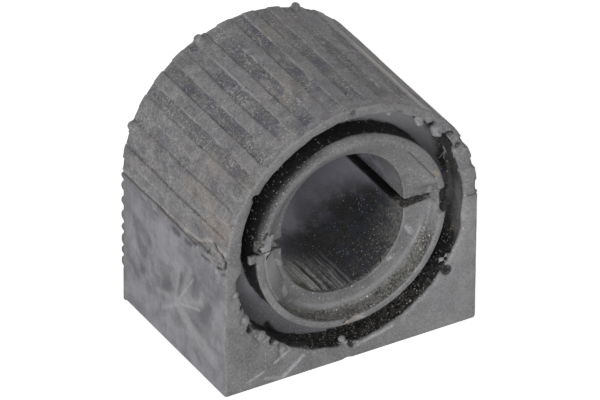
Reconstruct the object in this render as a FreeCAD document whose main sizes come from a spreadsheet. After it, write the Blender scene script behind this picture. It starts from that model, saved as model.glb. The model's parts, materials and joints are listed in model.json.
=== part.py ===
"""Sway bar bushing: one moulded rubber block, split on its right side, all sizes in millimetres.

Frame: the flat base lies on z = 0, the bar runs along Y, the end that faces the viewer is at -Y, and the
origin is the centre of the base. The back end repeats the front end.
"""
import FreeCAD
import Part
import math
import os
import Sketcher

Vector = FreeCAD.Vector

# Driving dimensions: alias, value, what it is
SIZES = [
    ("block_width", 46.5, "width over the two flat flanks"),
    ("block_depth", 33.6, "length of the block along the bar"),
    ("axis_height", 24.0, "height of the bar's axis above the base"),
    ("edge_round", 0.5, "rounding of the block's outer edges"),
    ("rib_groove_depth", 0.35, "depth of the shallow grooves on the round back"),
    ("rib_groove_angle", 5.6, "angle that one shallow groove spans, in degrees"),
    ("rib_pitch_angle", 11.45, "angle from one shallow groove to the next, in degrees"),
    ("rib_groove_count", 16, "number of shallow grooves"),
    ("outer_wall", 1.95, "wall between the ring groove and the flank"),
    ("end_groove_width", 3.9, "width of the ring groove in each end"),
    ("end_groove_depth", 5.7, "depth of the ring groove"),
    ("collar_wall", 1.25, "thickness of the thin collar round each mouth"),
    ("collar_height", 3.15, "how far the collar stands over the face of the sleeve"),
    ("bore_radius", 11.2, "radius of each half of the bar's bore"),
    ("bore_parting", 1.4, "how far each half of the bore stands off the axis"),
    ("slot_mouth_height", 1.9, "height of the open split at the bore"),
    ("slot_root_height", 0.9, "height of the open split at its root"),
    ("slot_root_wall", 0.7, "wall between the root of the open split and the ring groove"),
    ("hinge_mouth_height", 2.4, "height of the hinge notch at the bore"),
    ("hinge_root_height", 0.3, "height of the hinge notch at its root"),
    ("hinge_root_wall", 1.6, "wall between the root of the hinge notch and the ring groove"),
    ("cut_width", 0.12, "width of the closed cut through the outer wall"),
    ("right_gap_low", -1.7, "lower end of the collar's gap at the split, from the axis"),
    ("right_gap_high", 3.0, "upper end of the collar's gap at the split, from the axis"),
    ("left_gap_low", 1.4, "lower end of the collar's gap at the hinge, from the axis"),
    ("left_gap_high", 3.2, "upper end of the collar's gap at the hinge, from the axis"),
    ("collar_gap_depth", 1.6, "depth of the collar's gaps"),
    ("ear_reach", 1.5, "how far the ear at the hinge stands into the ring groove"),
    ("ear_height", 1.5, "height of that ear"),
    ("ear_depth", 0.9, "length of that ear along the bar"),
    ("pip_radius", 0.9, "radius of the moulding pips on the round back"),
    ("pip_inset", 0.05, "how deep a pip's centre lies under the back"),
    ("nub_radius", 0.85, "radius of the moulding nubs in the ring groove"),
    ("nub_inset", 0.2, "how deep a nub's front lies behind the end face"),
    ("nub_set_back", 0.3, "how far a nub's centre lies outside the groove's wall"),
]
# Directions from the axis, in degrees from +X towards +Z
PIP_ANGLES = (69.0, 114.0, 158.0)
NUB_ANGLES = (26.0, 42.0, 55.0)

doc = FreeCAD.newDocument("sway_bar_bushing")


def make_sheet():
    """Write the driving dimensions into a spreadsheet, one alias a row."""
    sheet = doc.addObject("Spreadsheet::Sheet", "sizes")
    for row, (alias, value, meaning) in enumerate(SIZES, start=1):
        sheet.set(f"A{row}", meaning)
        sheet.set(f"B{row}", str(value))
        sheet.setAlias(f"B{row}", alias)
    doc.recompute()
    return sheet


sizes = make_sheet()
body = doc.addObject("PartDesign::Body", "bushing")
body.Label = "bushing"
end_plane = next(f for f in body.Origin.OriginFeatures if f.Role == "XZ_Plane")

# The sheet's expressions for places that several features share
HALF_WIDTH = "sizes.block_width / 2"
HALF_DEPTH = "sizes.block_depth / 2"
GROOVE_OUTER = "(sizes.block_width / 2 - sizes.outer_wall)"
GROOVE_INNER = "(sizes.block_width / 2 - sizes.outer_wall - sizes.end_groove_width)"
SLEEVE_EDGE = f"({GROOVE_INNER} - sizes.collar_wall)"
# A cut that has to pass a curved wall starts this far inside it or ends this far outside it
OVERRUN = 1.0


def end_sketch(name, forward=HALF_DEPTH, height="sizes.axis_height"):
    """A sketch across the bar, its origin on the bar's axis, a given distance in front of the middle."""
    sketch = body.newObject("Sketcher::SketchObject", name)
    sketch.AttachmentSupport = [(end_plane, "")]
    sketch.MapMode = "FlatFace"
    sketch.setExpression(".AttachmentOffset.Base.y", height)
    sketch.setExpression(".AttachmentOffset.Base.z", forward)
    return sketch


def bind(sketch, constraint, label, expression):
    """Add a named constraint and tie it to an expression of the sheet."""
    index = sketch.addConstraint(constraint)
    sketch.renameConstraint(index, label)
    sketch.setExpression(f"Constraints.{label}", expression)


def add_circle(sketch, label, radius, height="0"):
    """A circle on the sketch's vertical axis with a bound radius and height."""
    index = sketch.addGeometry(Part.Circle(Vector(0, 0, 0), Vector(0, 0, 1), 5.0))
    sketch.addConstraint(Sketcher.Constraint("PointOnObject", index, 3, -2))
    bind(sketch, Sketcher.Constraint("DistanceY", -1, 1, index, 3, 0.0), f"{label}_height", height)
    bind(sketch, Sketcher.Constraint("Radius", index, 5.0), f"{label}_radius", radius)


def add_polygon(sketch, label, corners):
    """A closed polygon whose corners are pairs of expressions, measured from the sketch's origin."""
    places = [Vector(*(evaluate(value) for value in corner), 0) for corner in corners]
    first = sketch.GeometryCount
    count = len(places)
    for i in range(count):
        sketch.addGeometry(Part.LineSegment(places[i], places[(i + 1) % count]))
    for i in range(count):
        sketch.addConstraint(Sketcher.Constraint("Coincident", first + i, 2, first + (i + 1) % count, 1))
        for axis, value, place in zip("XY", corners[i], (places[i].x, places[i].y)):
            rule = Sketcher.Constraint(f"Distance{axis}", -1, 1, first + i, 1, place)
            bind(sketch, rule, f"{label}_{i}_{axis.lower()}", value)


def evaluate(expression):
    """The value of an expression of the sheet, in millimetres."""
    value = sizes.evalExpression(expression.replace("sizes.", ""))
    return getattr(value, "Value", value)


def pocket(name, sketch, depth=None):
    """Cut a sketch into the block from the front, to a depth or right through."""
    cut = body.newObject("PartDesign::Pocket", name)
    cut.Profile = sketch
    cut.Refine = False
    if depth is None:
        cut.Type = "ThroughAll"
    else:
        cut.Type = "Length"
        cut.setExpression("Length", depth)
    body.Tip = cut
    doc.recompute()
    return cut


def make_block():
    """The flat-based block with its round back and rounded outer edges."""
    sketch = end_sketch("block_profile", "0", "0")
    half, rise = evaluate(HALF_WIDTH), evaluate("sizes.axis_height")
    corners = [Vector(-half, 0, 0), Vector(half, 0, 0), Vector(half, rise, 0), Vector(-half, rise, 0)]
    base = sketch.addGeometry(Part.LineSegment(corners[0], corners[1]))
    right = sketch.addGeometry(Part.LineSegment(corners[1], corners[2]))
    round_back = Part.Circle(Vector(0, rise, 0), Vector(0, 0, 1), half)
    arc = sketch.addGeometry(Part.ArcOfCircle(round_back, 0, math.pi))
    left = sketch.addGeometry(Part.LineSegment(corners[3], corners[0]))
    for rule in (
        ("Coincident", base, 2, right, 1), ("Coincident", right, 2, arc, 1), ("Coincident", arc, 2, left, 1),
        ("Coincident", left, 2, base, 1), ("Vertical", right), ("Vertical", left),
        ("PointOnObject", base, 1, -1), ("Symmetric", base, 1, base, 2, -2), ("Horizontal", arc, 1, arc, 3),
        ("Horizontal", arc, 2, arc, 3),
    ):
        sketch.addConstraint(Sketcher.Constraint(*rule))
    bind(sketch, Sketcher.Constraint("DistanceX", base, 1, base, 2, 2 * half), "width", "sizes.block_width")
    bind(sketch, Sketcher.Constraint("DistanceY", right, 1, right, 2, rise), "rise", "sizes.axis_height")
    pad = body.newObject("PartDesign::Pad", "block")
    pad.Profile = sketch
    pad.Midplane = True
    pad.setExpression("Length", "sizes.block_depth")
    body.Tip = pad
    doc.recompute()
    return pad


def round_block(pad):
    """Round the rims of both ends and the two long edges of the base."""
    half_depth = evaluate(HALF_DEPTH)
    names = []
    for number, edge in enumerate(pad.Shape.Edges, start=1):
        box = edge.BoundBox
        on_end = box.YLength < 0.01 and abs(abs(box.YMin) - half_depth) < 0.01
        on_base = box.YLength > 0.01 and box.ZMax < 0.01
        if on_end or on_base:
            names.append(f"Edge{number}")
    fillet = body.newObject("PartDesign::Fillet", "outer_edges")
    fillet.Base = (pad, names)
    fillet.setExpression("Radius", "sizes.edge_round")
    body.Tip = fillet
    doc.recompute()
    return fillet


def cut_rib_grooves():
    """The shallow grooves along the round back, an even fan about the axis."""
    sketch = end_sketch("rib_groove_profile")
    floor, outside = "sizes.block_width / 2 - sizes.rib_groove_depth", f"{HALF_WIDTH} + {OVERRUN}"
    first = "(90 - (sizes.rib_groove_count - 1) / 2 * sizes.rib_pitch_angle)"
    half_span = "(sizes.rib_groove_angle / 2)"
    bent = [
        (floor, f"{first} - {half_span}"), (outside, f"{first} - {half_span}"),
        (outside, f"{first} + {half_span}"), (floor, f"{first} + {half_span}"), (floor, first),
    ]
    corners = [(f"({r}) * cos({a})", f"({r}) * sin({a})") for r, a in bent]
    add_polygon(sketch, "sector", corners)
    groove = pocket("rib_groove", sketch)
    fan = body.newObject("PartDesign::PolarPattern", "rib_grooves")
    fan.Originals = [groove]
    fan.Axis = (sketch, ["N_Axis"])
    fan.Reversed = turns_backwards(sketch)
    fan.setExpression("Angle", "(sizes.rib_groove_count - 1) * sizes.rib_pitch_angle")
    fan.setExpression("Occurrences", "sizes.rib_groove_count")
    body.Tip = fan
    doc.recompute()
    return fan


def turns_backwards(sketch):
    """Whether a fan has to run against the sketch's axis to climb from +X over the top."""
    normal = sketch.Placement.Rotation.multVec(Vector(0, 0, 1))
    return normal.y > 0


def cut_ring_groove():
    """The ring groove in the front end."""
    ring = end_sketch("ring_groove_profile")
    add_circle(ring, "outer", GROOVE_OUTER)
    add_circle(ring, "inner", GROOVE_INNER)
    return pocket("ring_groove", ring, "sizes.end_groove_depth")


def cut_sleeve_face():
    """The sleeve's front face, sunk inside its thin collar."""
    dish = end_sketch("sleeve_face_profile")
    add_circle(dish, "face", SLEEVE_EDGE)
    return pocket("sleeve_face", dish, "sizes.collar_height")


def cut_bore():
    """The bar's bore right through, two half rounds a little apart."""
    for side, sign in (("lower", "-"), ("upper", "")):
        half = end_sketch(f"bore_{side}_profile")
        add_circle(half, "bore", "sizes.bore_radius", f"{sign}sizes.bore_parting")
        pocket(f"bore_{side}", half)


def cut_split():
    """The open split on the right, the closed cut outside it, and the hinge notch on the left."""
    start = f"sizes.bore_radius - {OVERRUN}"
    end = f"{GROOVE_INNER} - sizes.slot_root_wall"
    slot = end_sketch("split_profile")
    add_polygon(slot, "split", [
        (start, "-sizes.slot_mouth_height / 2"), (end, "-sizes.slot_root_height / 2"),
        (end, "sizes.slot_root_height / 2"), (start, "sizes.slot_mouth_height / 2"),
    ])
    pocket("split", slot)
    knife = end_sketch("wall_cut_profile")
    outside = f"{HALF_WIDTH} + {OVERRUN}"
    inside = f"{end} - {OVERRUN}"
    add_polygon(knife, "cut", [
        (inside, "-sizes.cut_width / 2"), (outside, "-sizes.cut_width / 2"),
        (outside, "sizes.cut_width / 2"), (inside, "sizes.cut_width / 2"),
    ])
    pocket("wall_cut", knife)
    hinge = end_sketch("hinge_profile")
    root = f"-{GROOVE_INNER} + sizes.hinge_root_wall"
    mouth = f"-sizes.bore_radius + {OVERRUN}"
    add_polygon(hinge, "hinge", [
        (root, "-sizes.hinge_root_height / 2"), (mouth, "-sizes.hinge_mouth_height / 2"),
        (mouth, "sizes.hinge_mouth_height / 2"), (root, "sizes.hinge_root_height / 2"),
    ])
    pocket("hinge", hinge)


def cut_collar_gaps():
    """The low places in the collar at the split and at the hinge."""
    cuts = []
    outer = f"{GROOVE_INNER} + {OVERRUN / 2}"
    inner = f"{SLEEVE_EDGE} - {OVERRUN}"
    for side, sign in (("right", ""), ("left", "-")):
        gap = end_sketch(f"{side}_gap_profile")
        low, high = f"sizes.{side}_gap_low", f"sizes.{side}_gap_high"
        add_polygon(gap, "gap", [
            (f"{sign}({inner})", low), (f"{sign}({outer})", low),
            (f"{sign}({outer})", high), (f"{sign}({inner})", high),
        ])
        cuts.append(pocket(f"{side}_gap", gap, "sizes.collar_gap_depth"))
    return cuts


def add_ear():
    """The small ear beside the hinge, which stands out of the collar into the ring groove."""
    sketch = end_sketch("ear_profile")
    tip = f"-{GROOVE_INNER} - sizes.ear_reach"
    root = f"-{SLEEVE_EDGE}"
    top = "sizes.left_gap_low"
    foot = "sizes.left_gap_low - sizes.ear_height"
    add_polygon(sketch, "ear", [(tip, top), (tip, foot), (root, foot), (root, top)])
    ear = body.newObject("PartDesign::Pad", "ear")
    ear.Profile = sketch
    ear.Reversed = True
    ear.setExpression("Length", "sizes.ear_depth")
    body.Tip = ear
    doc.recompute()
    return ear


def add_ball(name, radius, from_axis, angle, forward):
    """A ball fused to the block at a distance and direction from the axis."""
    ball = body.newObject("PartDesign::AdditiveSphere", name)
    ball.Refine = False
    ball.AttachmentSupport = [(end_plane, "")]
    ball.MapMode = "FlatFace"
    ball.setExpression("Radius", radius)
    ball.setExpression(".AttachmentOffset.Base.x", f"({from_axis}) * cos({angle})")
    ball.setExpression(".AttachmentOffset.Base.y", f"sizes.axis_height + ({from_axis}) * sin({angle})")
    ball.setExpression(".AttachmentOffset.Base.z", forward)
    body.Tip = ball
    doc.recompute()
    return ball


def mirror_ends(features):
    """Repeat the front end's features on the back end."""
    mirror = body.newObject("PartDesign::Mirrored", "back_end")
    mirror.Refine = False
    mirror.Originals = features
    mirror.MirrorPlane = (end_plane, [""])
    body.Tip = mirror
    doc.recompute()
    return mirror


round_block(make_block())
for angle in PIP_ANGLES:
    add_ball(f"pip_{angle:.0f}", "sizes.pip_radius", f"{HALF_WIDTH} - sizes.pip_inset", angle,
             f"-({HALF_DEPTH}) + sizes.pip_radius")
mirror_ends([cut_ring_groove(), cut_sleeve_face(), *cut_collar_gaps(), add_ear()])
for angle in NUB_ANGLES:
    add_ball(f"nub_{angle:.0f}", "sizes.nub_radius", f"{GROOVE_OUTER} + sizes.nub_set_back",
             angle, f"{HALF_DEPTH} - sizes.nub_radius - sizes.nub_inset")
cut_bore()
cut_split()
cut_rib_grooves()

doc.recompute()
for thing in doc.Objects:
    if {"Invalid", "Error"} & set(thing.State):
        raise RuntimeError(f"{thing.Name} failed: {thing.State}")
shape = body.Shape
if shape.isNull() or not shape.isValid() or len(shape.Solids) != 1:
    raise RuntimeError("the bushing is not one valid solid")
os.makedirs("parts", exist_ok=True)
shape.exportStep(f"parts/{body.Label}.step")
box = shape.optimalBoundingBox()
print(f"{body.Label}: {shape.Volume / 1000:.2f} cm3")
print(f"{box.XLength:.2f} x {box.YLength:.2f} x {box.ZLength:.2f} mm")
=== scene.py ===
"""Sway bar bushing, dressed around its frame: one block of moulded rubber, used and dusty.

Every object is in metres in the frame's own axes: the base lies on z = 0, the bar runs along Y and the end
that faces the camera is at -Y. Sizes in the classes below are in millimetres unless they say otherwise.
"""
import json
import logging
import math
from dataclasses import dataclass, field
from enum import Enum

import bmesh
import bpy
import numpy as np
from mathutils import Matrix, Vector


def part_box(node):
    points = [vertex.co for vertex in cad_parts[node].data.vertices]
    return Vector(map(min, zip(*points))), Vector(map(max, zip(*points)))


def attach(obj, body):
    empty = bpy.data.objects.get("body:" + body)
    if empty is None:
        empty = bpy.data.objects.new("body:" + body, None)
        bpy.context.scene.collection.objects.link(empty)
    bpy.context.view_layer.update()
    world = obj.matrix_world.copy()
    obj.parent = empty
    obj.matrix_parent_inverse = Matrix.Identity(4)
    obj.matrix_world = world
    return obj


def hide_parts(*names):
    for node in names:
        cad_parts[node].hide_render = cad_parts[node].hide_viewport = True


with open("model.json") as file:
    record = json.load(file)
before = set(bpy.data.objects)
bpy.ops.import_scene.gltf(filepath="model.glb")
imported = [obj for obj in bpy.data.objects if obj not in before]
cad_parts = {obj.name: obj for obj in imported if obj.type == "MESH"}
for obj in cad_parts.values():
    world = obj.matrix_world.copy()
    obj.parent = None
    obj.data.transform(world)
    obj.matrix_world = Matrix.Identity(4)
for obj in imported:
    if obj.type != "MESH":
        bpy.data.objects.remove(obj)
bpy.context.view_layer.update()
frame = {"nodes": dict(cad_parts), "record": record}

log = logging.getLogger("bushing")
MM = 0.001
# How far the surface stays inside the block's own box
SPARE = 0.004
# The share of a stroke's width over which it is as strong as on its line
STROKE_CORE = 0.25
# What the lamps look at, in metres
BLOCK_MIDDLE = (0, 0, 0.024)
Colour = tuple[float, float, float, float]
Place = tuple[float, float, float]
Spot = tuple[float, float]
Array = np.ndarray
Node = bpy.types.Node
Socket = bpy.types.NodeSocket
Tree = bpy.types.NodeTree


def paint(red: int, green: int, blue_shade: int) -> Colour:
    """A colour given as it shows on a screen, turned into the linear values that shaders read.

    Args:
        red: red from 0 to 255.
        green: green from 0 to 255.
        blue_shade: blue from 0 to 255.

    Returns:
        The linear colour with an alpha of one.
    """
    shares = (value / 255 for value in (red, green, blue_shade))
    linear = (s / 12.92 if s <= 0.04045 else ((s + 0.055) / 1.055) ** 2.4 for s in shares)
    return (*linear, 1.0)


def smooth(values: Array, low: float, high: float) -> Array:
    """A soft step from 0 at low to 1 at high, or the other way round where low is above high."""
    share = np.clip((values - low) / (high - low), 0.0, 1.0)
    return share * share * (3 - 2 * share)


@dataclass(frozen=True)
class Form:
    """The bushing's driving sizes, in millimetres, as its frame has them."""

    half_width: float
    half_depth: float
    axis_height: float
    ring_outer: float = 21.3
    ring_inner: float = 17.4
    ring_depth: float = 5.7
    sleeve_edge: float = 16.15
    sleeve_depth: float = 3.15

    @classmethod
    def from_frame(cls) -> "Form":
        """Read what the frame states.

        Returns:
            The sizes, with the block's box and its axis from the frame.
        """
        _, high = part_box("bushing")
        mounts = {mount["name"]: mount for mount in frame["record"]["mounts"]}
        return cls(
            half_width=high.x / MM,
            half_depth=high.y / MM,
            axis_height=mounts["bracket_seat"]["pos_m"][2] / MM,
        )


class LatticeNoise:
    """Smooth noise on a lattice of random numbers, the same on every run."""

    table_size = 4096
    primes = (73856093, 19349663, 83492791)
    octave_shift = 17.3

    def __init__(self, seed: int) -> None:
        """Fill the table of random numbers from a seed."""
        self.table = np.random.default_rng(seed).uniform(-1.0, 1.0, self.table_size)

    def at(self, points: Array, scale: float, stretch: Place = (1, 1, 1)) -> Array:
        """One octave of noise.

        Args:
            points: places, one row each, in millimetres.
            scale: size of one lump.
            stretch: how much longer a lump is along each axis.

        Returns:
            A value from -1 to 1 for each place.
        """
        place = points / (scale * np.asarray(stretch, float))
        cell = np.floor(place).astype(np.int64)
        share = place - cell
        share = share * share * (3 - 2 * share)
        total = np.zeros(len(points))
        for corner in range(8):
            step = np.array([corner & 1, corner >> 1 & 1, corner >> 2 & 1])
            weight = np.prod(np.where(step, share, 1 - share), axis=1)
            key = ((cell + step) * np.array(self.primes)).T
            total += weight * self.table[(key[0] ^ key[1] ^ key[2]) % self.table_size]
        return total

    def layers(self, points: Array, scale: float, count: int, stretch: Place = (1, 1, 1)) -> Array:
        """Several octaves of noise, each half the size and half the strength of the one before.

        Args:
            points: places, one row each, in millimetres.
            scale: size of one lump in the first octave.
            count: how many octaves there are.
            stretch: how much longer a lump is along each axis.

        Returns:
            A value from -1 to 1 for each place.
        """
        total = np.zeros(len(points))
        for octave in range(count):
            total += self.at(points + self.octave_shift * octave, scale / 2**octave, stretch) / 2**octave
        return total / (2 - 0.5 ** (count - 1))


class Skin:
    """The points of a rubber surface in millimetres, with their place about the bar's axis."""

    def __init__(self, mesh: bpy.types.Mesh, form: Form) -> None:
        """Read a mesh.

        Args:
            mesh: the mesh, in metres.
            form: the bushing's sizes.
        """
        self.mesh = mesh
        self.form = form
        self.points = self._read(mesh.vertices, "co") / MM
        self.normals = self._read(mesh.vertex_normals, "vector")

    @staticmethod
    def _read(items: bpy.types.bpy_prop_collection, name: str) -> Array:
        """Read a vector property of every item.

        Args:
            items: the mesh's vertices or normals.
            name: the property's name.

        Returns:
            One row for each item.
        """
        values = np.empty(len(items) * 3, np.float32)
        items.foreach_get(name, values)
        return values.reshape(-1, 3).astype(float)

    @property
    def across(self) -> Array:
        """Distance to the right of the axis."""
        return self.points[:, 0]

    @property
    def rise(self) -> Array:
        """Height over the axis."""
        return self.points[:, 2] - self.form.axis_height

    @property
    def radius(self) -> Array:
        """Distance from the bar's axis."""
        return np.hypot(self.across, self.rise)

    @property
    def angle(self) -> Array:
        """Direction from the axis in degrees, 0 to the right and 90 straight up."""
        return np.degrees(np.arctan2(self.rise, self.across))

    @property
    def depth(self) -> Array:
        """Distance behind the nearer end's face."""
        return self.form.half_depth - np.abs(self.points[:, 1])

    @property
    def from_front(self) -> Array:
        """Distance behind the front end's face."""
        return self.form.half_depth + self.points[:, 1]

    def push(self, amount: Array) -> None:
        """Move every point along its normal, outwards where the amount is positive."""
        self.points += self.normals * amount[:, None]

    def set_radius(self, radius: Array, chosen: Array) -> None:
        """Move points to a radius, straight out from the axis.

        Args:
            radius: the new distance of every point from the axis.
            chosen: which points move.
        """
        share = radius[chosen] / self.radius[chosen]
        self.points[chosen, 0] *= share
        self.points[chosen, 2] = self.form.axis_height + self.rise[chosen] * share

    def write(self) -> None:
        """Put the points back into the mesh, inside the block's own box."""
        form = self.form
        limit = np.array([form.half_width, form.half_depth, form.axis_height + form.half_width]) - SPARE
        low = np.array([-limit[0], -limit[1], SPARE])
        places = np.clip(self.points, low, limit) * MM
        self.mesh.vertices.foreach_set("co", places.astype(np.float32).ravel())
        self.mesh.update()


@dataclass(frozen=True)
class Ribs:
    """The shallow grooves and flat ribs along the round back, with their places and widths in degrees."""

    first: float = 4.1
    pitch: float = 11.45
    count: int = 16
    span: float = 5.6
    depth: float = 0.26
    flank: float = 0.5
    lip: float = 0.06
    lip_span: float = 0.3
    lip_gap: float = 0.15
    crack: float = 0.13
    crack_span: float = 0.33
    wander: float = 0.3
    shiver: float = 0.12
    uneven: float = 0.12
    reach_front: float = 40.0

    def number(self, skin: Skin) -> Array:
        """The number of the groove nearest to each point, counted from the right."""
        return np.clip(np.round((skin.angle - self.first) / self.pitch), 0, self.count - 1)

    def fields(self, skin: Skin, noise: LatticeNoise) -> dict[str, Array]:
        """How the ribs lie over a surface.

        Args:
            skin: the surface.
            noise: what makes the grooves wander and differ.

        Returns:
            The share of groove, of painted highlight on the upper lip and of painted shade, with some dirt,
            along the lower line at each point, from 0 to 1.
        """
        number = self.number(skin)
        own = np.stack([number * 7.7, skin.points[:, 1], number * 3.1], axis=1)
        slow = (0.3, 1, 0.3)
        wander = self.wander * noise.at(own, 12.0, slow) + self.shiver * noise.at(own, 1.6)
        width = self.span / 2 * (1.0 + self.uneven * noise.at(own + 31.0, 14.0, slow))
        offset = ((skin.angle - self.first) / self.pitch - number) * self.pitch + wander
        reach = self._reach(skin, noise)
        groove = smooth(np.abs(offset), width + self.flank / 2, width - self.flank / 2) * reach
        below = np.exp(-(((offset - width) / self.crack_span) ** 2)) * reach
        above = np.exp(-(((offset + width + self.lip_gap) / self.lip_span) ** 2)) * reach
        # painted highlight on each lip and painted shade along each lower line, both stronger on the left,
        # which faces the key light
        light = smooth(noise.layers(own, 4.5, 3), -0.3, 0.35)
        light = np.maximum(light, 0.7 * smooth(skin.angle, 140.0, 155.0))
        dark = smooth(noise.layers(own + 53.0, 4.0, 3), -0.35, 0.4)
        least = 0.15 + 0.6 * smooth(skin.angle, 135.0, 158.0)
        return {"groove": groove, "lip": above * light, "line": below * (least + (1 - least) * dark)}

    def _reach(self, skin: Skin, noise: LatticeNoise) -> Array:
        """Where the grooves run.

        Args:
            skin: the surface.
            noise: what makes their front ends ragged.

        Returns:
            One over the round back, down to nothing at the front end, apart from its right side.
        """
        on_back = smooth(skin.rise, -0.6, 0.2)
        front = smooth(skin.from_front + 0.7 * noise.layers(skin.points, 2.4, 2), 0.6, 2.6)
        return on_back * np.where(skin.angle < self.reach_front, 1.0, front)


class Mark(Enum):
    """What a stroke leaves on the surface."""

    CRACK = "crack"
    RUB = "rub"
    STAIN = "stain"
    SHADE = "shade"
    SCUFF = "scuff"


class Side(Enum):
    """The side that a stroke lies on, as the weight that each axis has in the distance to its line."""

    FLANK = (0.2, 1.0, 1.0)
    FACE = (1.0, 0.2, 1.0)


@dataclass(frozen=True)
class Stroke:
    """One straight mark: its ends in millimetres, its width, its strength and its depth."""

    kind: Mark
    side: Side
    start: Place
    end: Place
    width: float
    strength: float = 0.8
    depth: float = 0.0

    least_wide = 0.8

    @property
    def is_wide(self) -> bool:
        """Whether it is a soft wide stroke, which the points carry instead of the finish."""
        is_soft = self.kind in (Mark.SHADE, Mark.RUB)
        return is_soft and self.side is Side.FLANK and self.width >= self.least_wide

    def share(self, points: Array) -> Array:
        """How strongly the stroke touches each point.

        Args:
            points: places, one row each, in millimetres.

        Returns:
            A share for each place, from 0 beside the stroke to 1 on its line.
        """
        weight = np.array(self.side.value)
        start, end = np.array(self.start) * weight, np.array(self.end) * weight
        places = points * weight
        run = end - start
        along = np.clip((places - start) @ run / (run @ run), 0, 1)
        gap = np.linalg.norm(places - start - along[:, None] * run, axis=1)
        return smooth(gap, self.width, STROKE_CORE * self.width)


def on_flank(kind: Mark, across: float, start: Spot, end: Spot, width: float,
             strength: float = 0.8, depth: float = 0.0) -> Stroke:
    """A mark on a flank.

    Args:
        kind: what it leaves.
        across: where the surface that it lies on is across the bar.
        start: its start, along the bar and upwards.
        end: its end in the same form.
        width: its half width.
        strength: how clear it is.
        depth: how far it is pressed in.

    Returns:
        The stroke.
    """
    ends = ((across, *start), (across, *end))
    return Stroke(kind, Side.FLANK, *ends, width, strength, depth)


def on_end(kind: Mark, along: float, start: Spot, end: Spot, width: float,
           strength: float = 0.8, depth: float = 0.0) -> Stroke:
    """A mark on the front end.

    Args:
        kind: what it leaves.
        along: where the surface that it lies on is along the bar.
        start: its start, across the bar and upwards.
        end: its end in the same form.
        width: its half width.
        strength: how clear it is.
        depth: how far it is pressed in.

    Returns:
        The stroke.
    """
    ends = ((start[0], along, start[1]), (end[0], along, end[1]))
    return Stroke(kind, Side.FACE, *ends, width, strength, depth)


@dataclass(frozen=True)
class Lump:
    """A small lump of moulded rubber near the front end.

    Its direction from the axis in degrees, its distance from the axis, its depth behind the end face, its
    radius, and how much longer it is along the bar.
    """

    angle: float
    distance: float
    depth: float
    size: float
    length: float = 1.0

    def centre(self, form: Form) -> Vector:
        """Its middle in the frame.

        Args:
            form: the bushing's sizes.

        Returns:
            The place, in millimetres.
        """
        turn = math.radians(self.angle)
        across, rise = self.distance * math.cos(turn), self.distance * math.sin(turn)
        return Vector((across, self.depth - form.half_depth, form.axis_height + rise))

    def gap(self, skin: Skin) -> Array:
        """How far each point of a surface lies from its middle."""
        return np.linalg.norm(skin.points - np.array(self.centre(skin.form)), axis=1)


@dataclass(frozen=True)
class Bite(Lump):
    """A dent torn out of an edge of the front end: how far it goes back and out, and how strongly painted
    shade, in black, fills it.
    """

    back: float = 0.0
    out: float = 0.0
    black: float = 0.0

    def apply(self, skin: Skin) -> None:
        """Press the dent into a surface.

        Args:
            skin: the surface.
        """
        centre = self.centre(skin.form)
        share = smooth(self.gap(skin), self.size, self.size * 0.3)
        outward = np.array((centre.x, 0.0, centre.z - skin.form.axis_height))
        outward /= np.linalg.norm(outward)
        skin.points += share[:, None] * (self.out * outward + self.back * np.array((0.0, 1.0, 0.0)))


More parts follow.
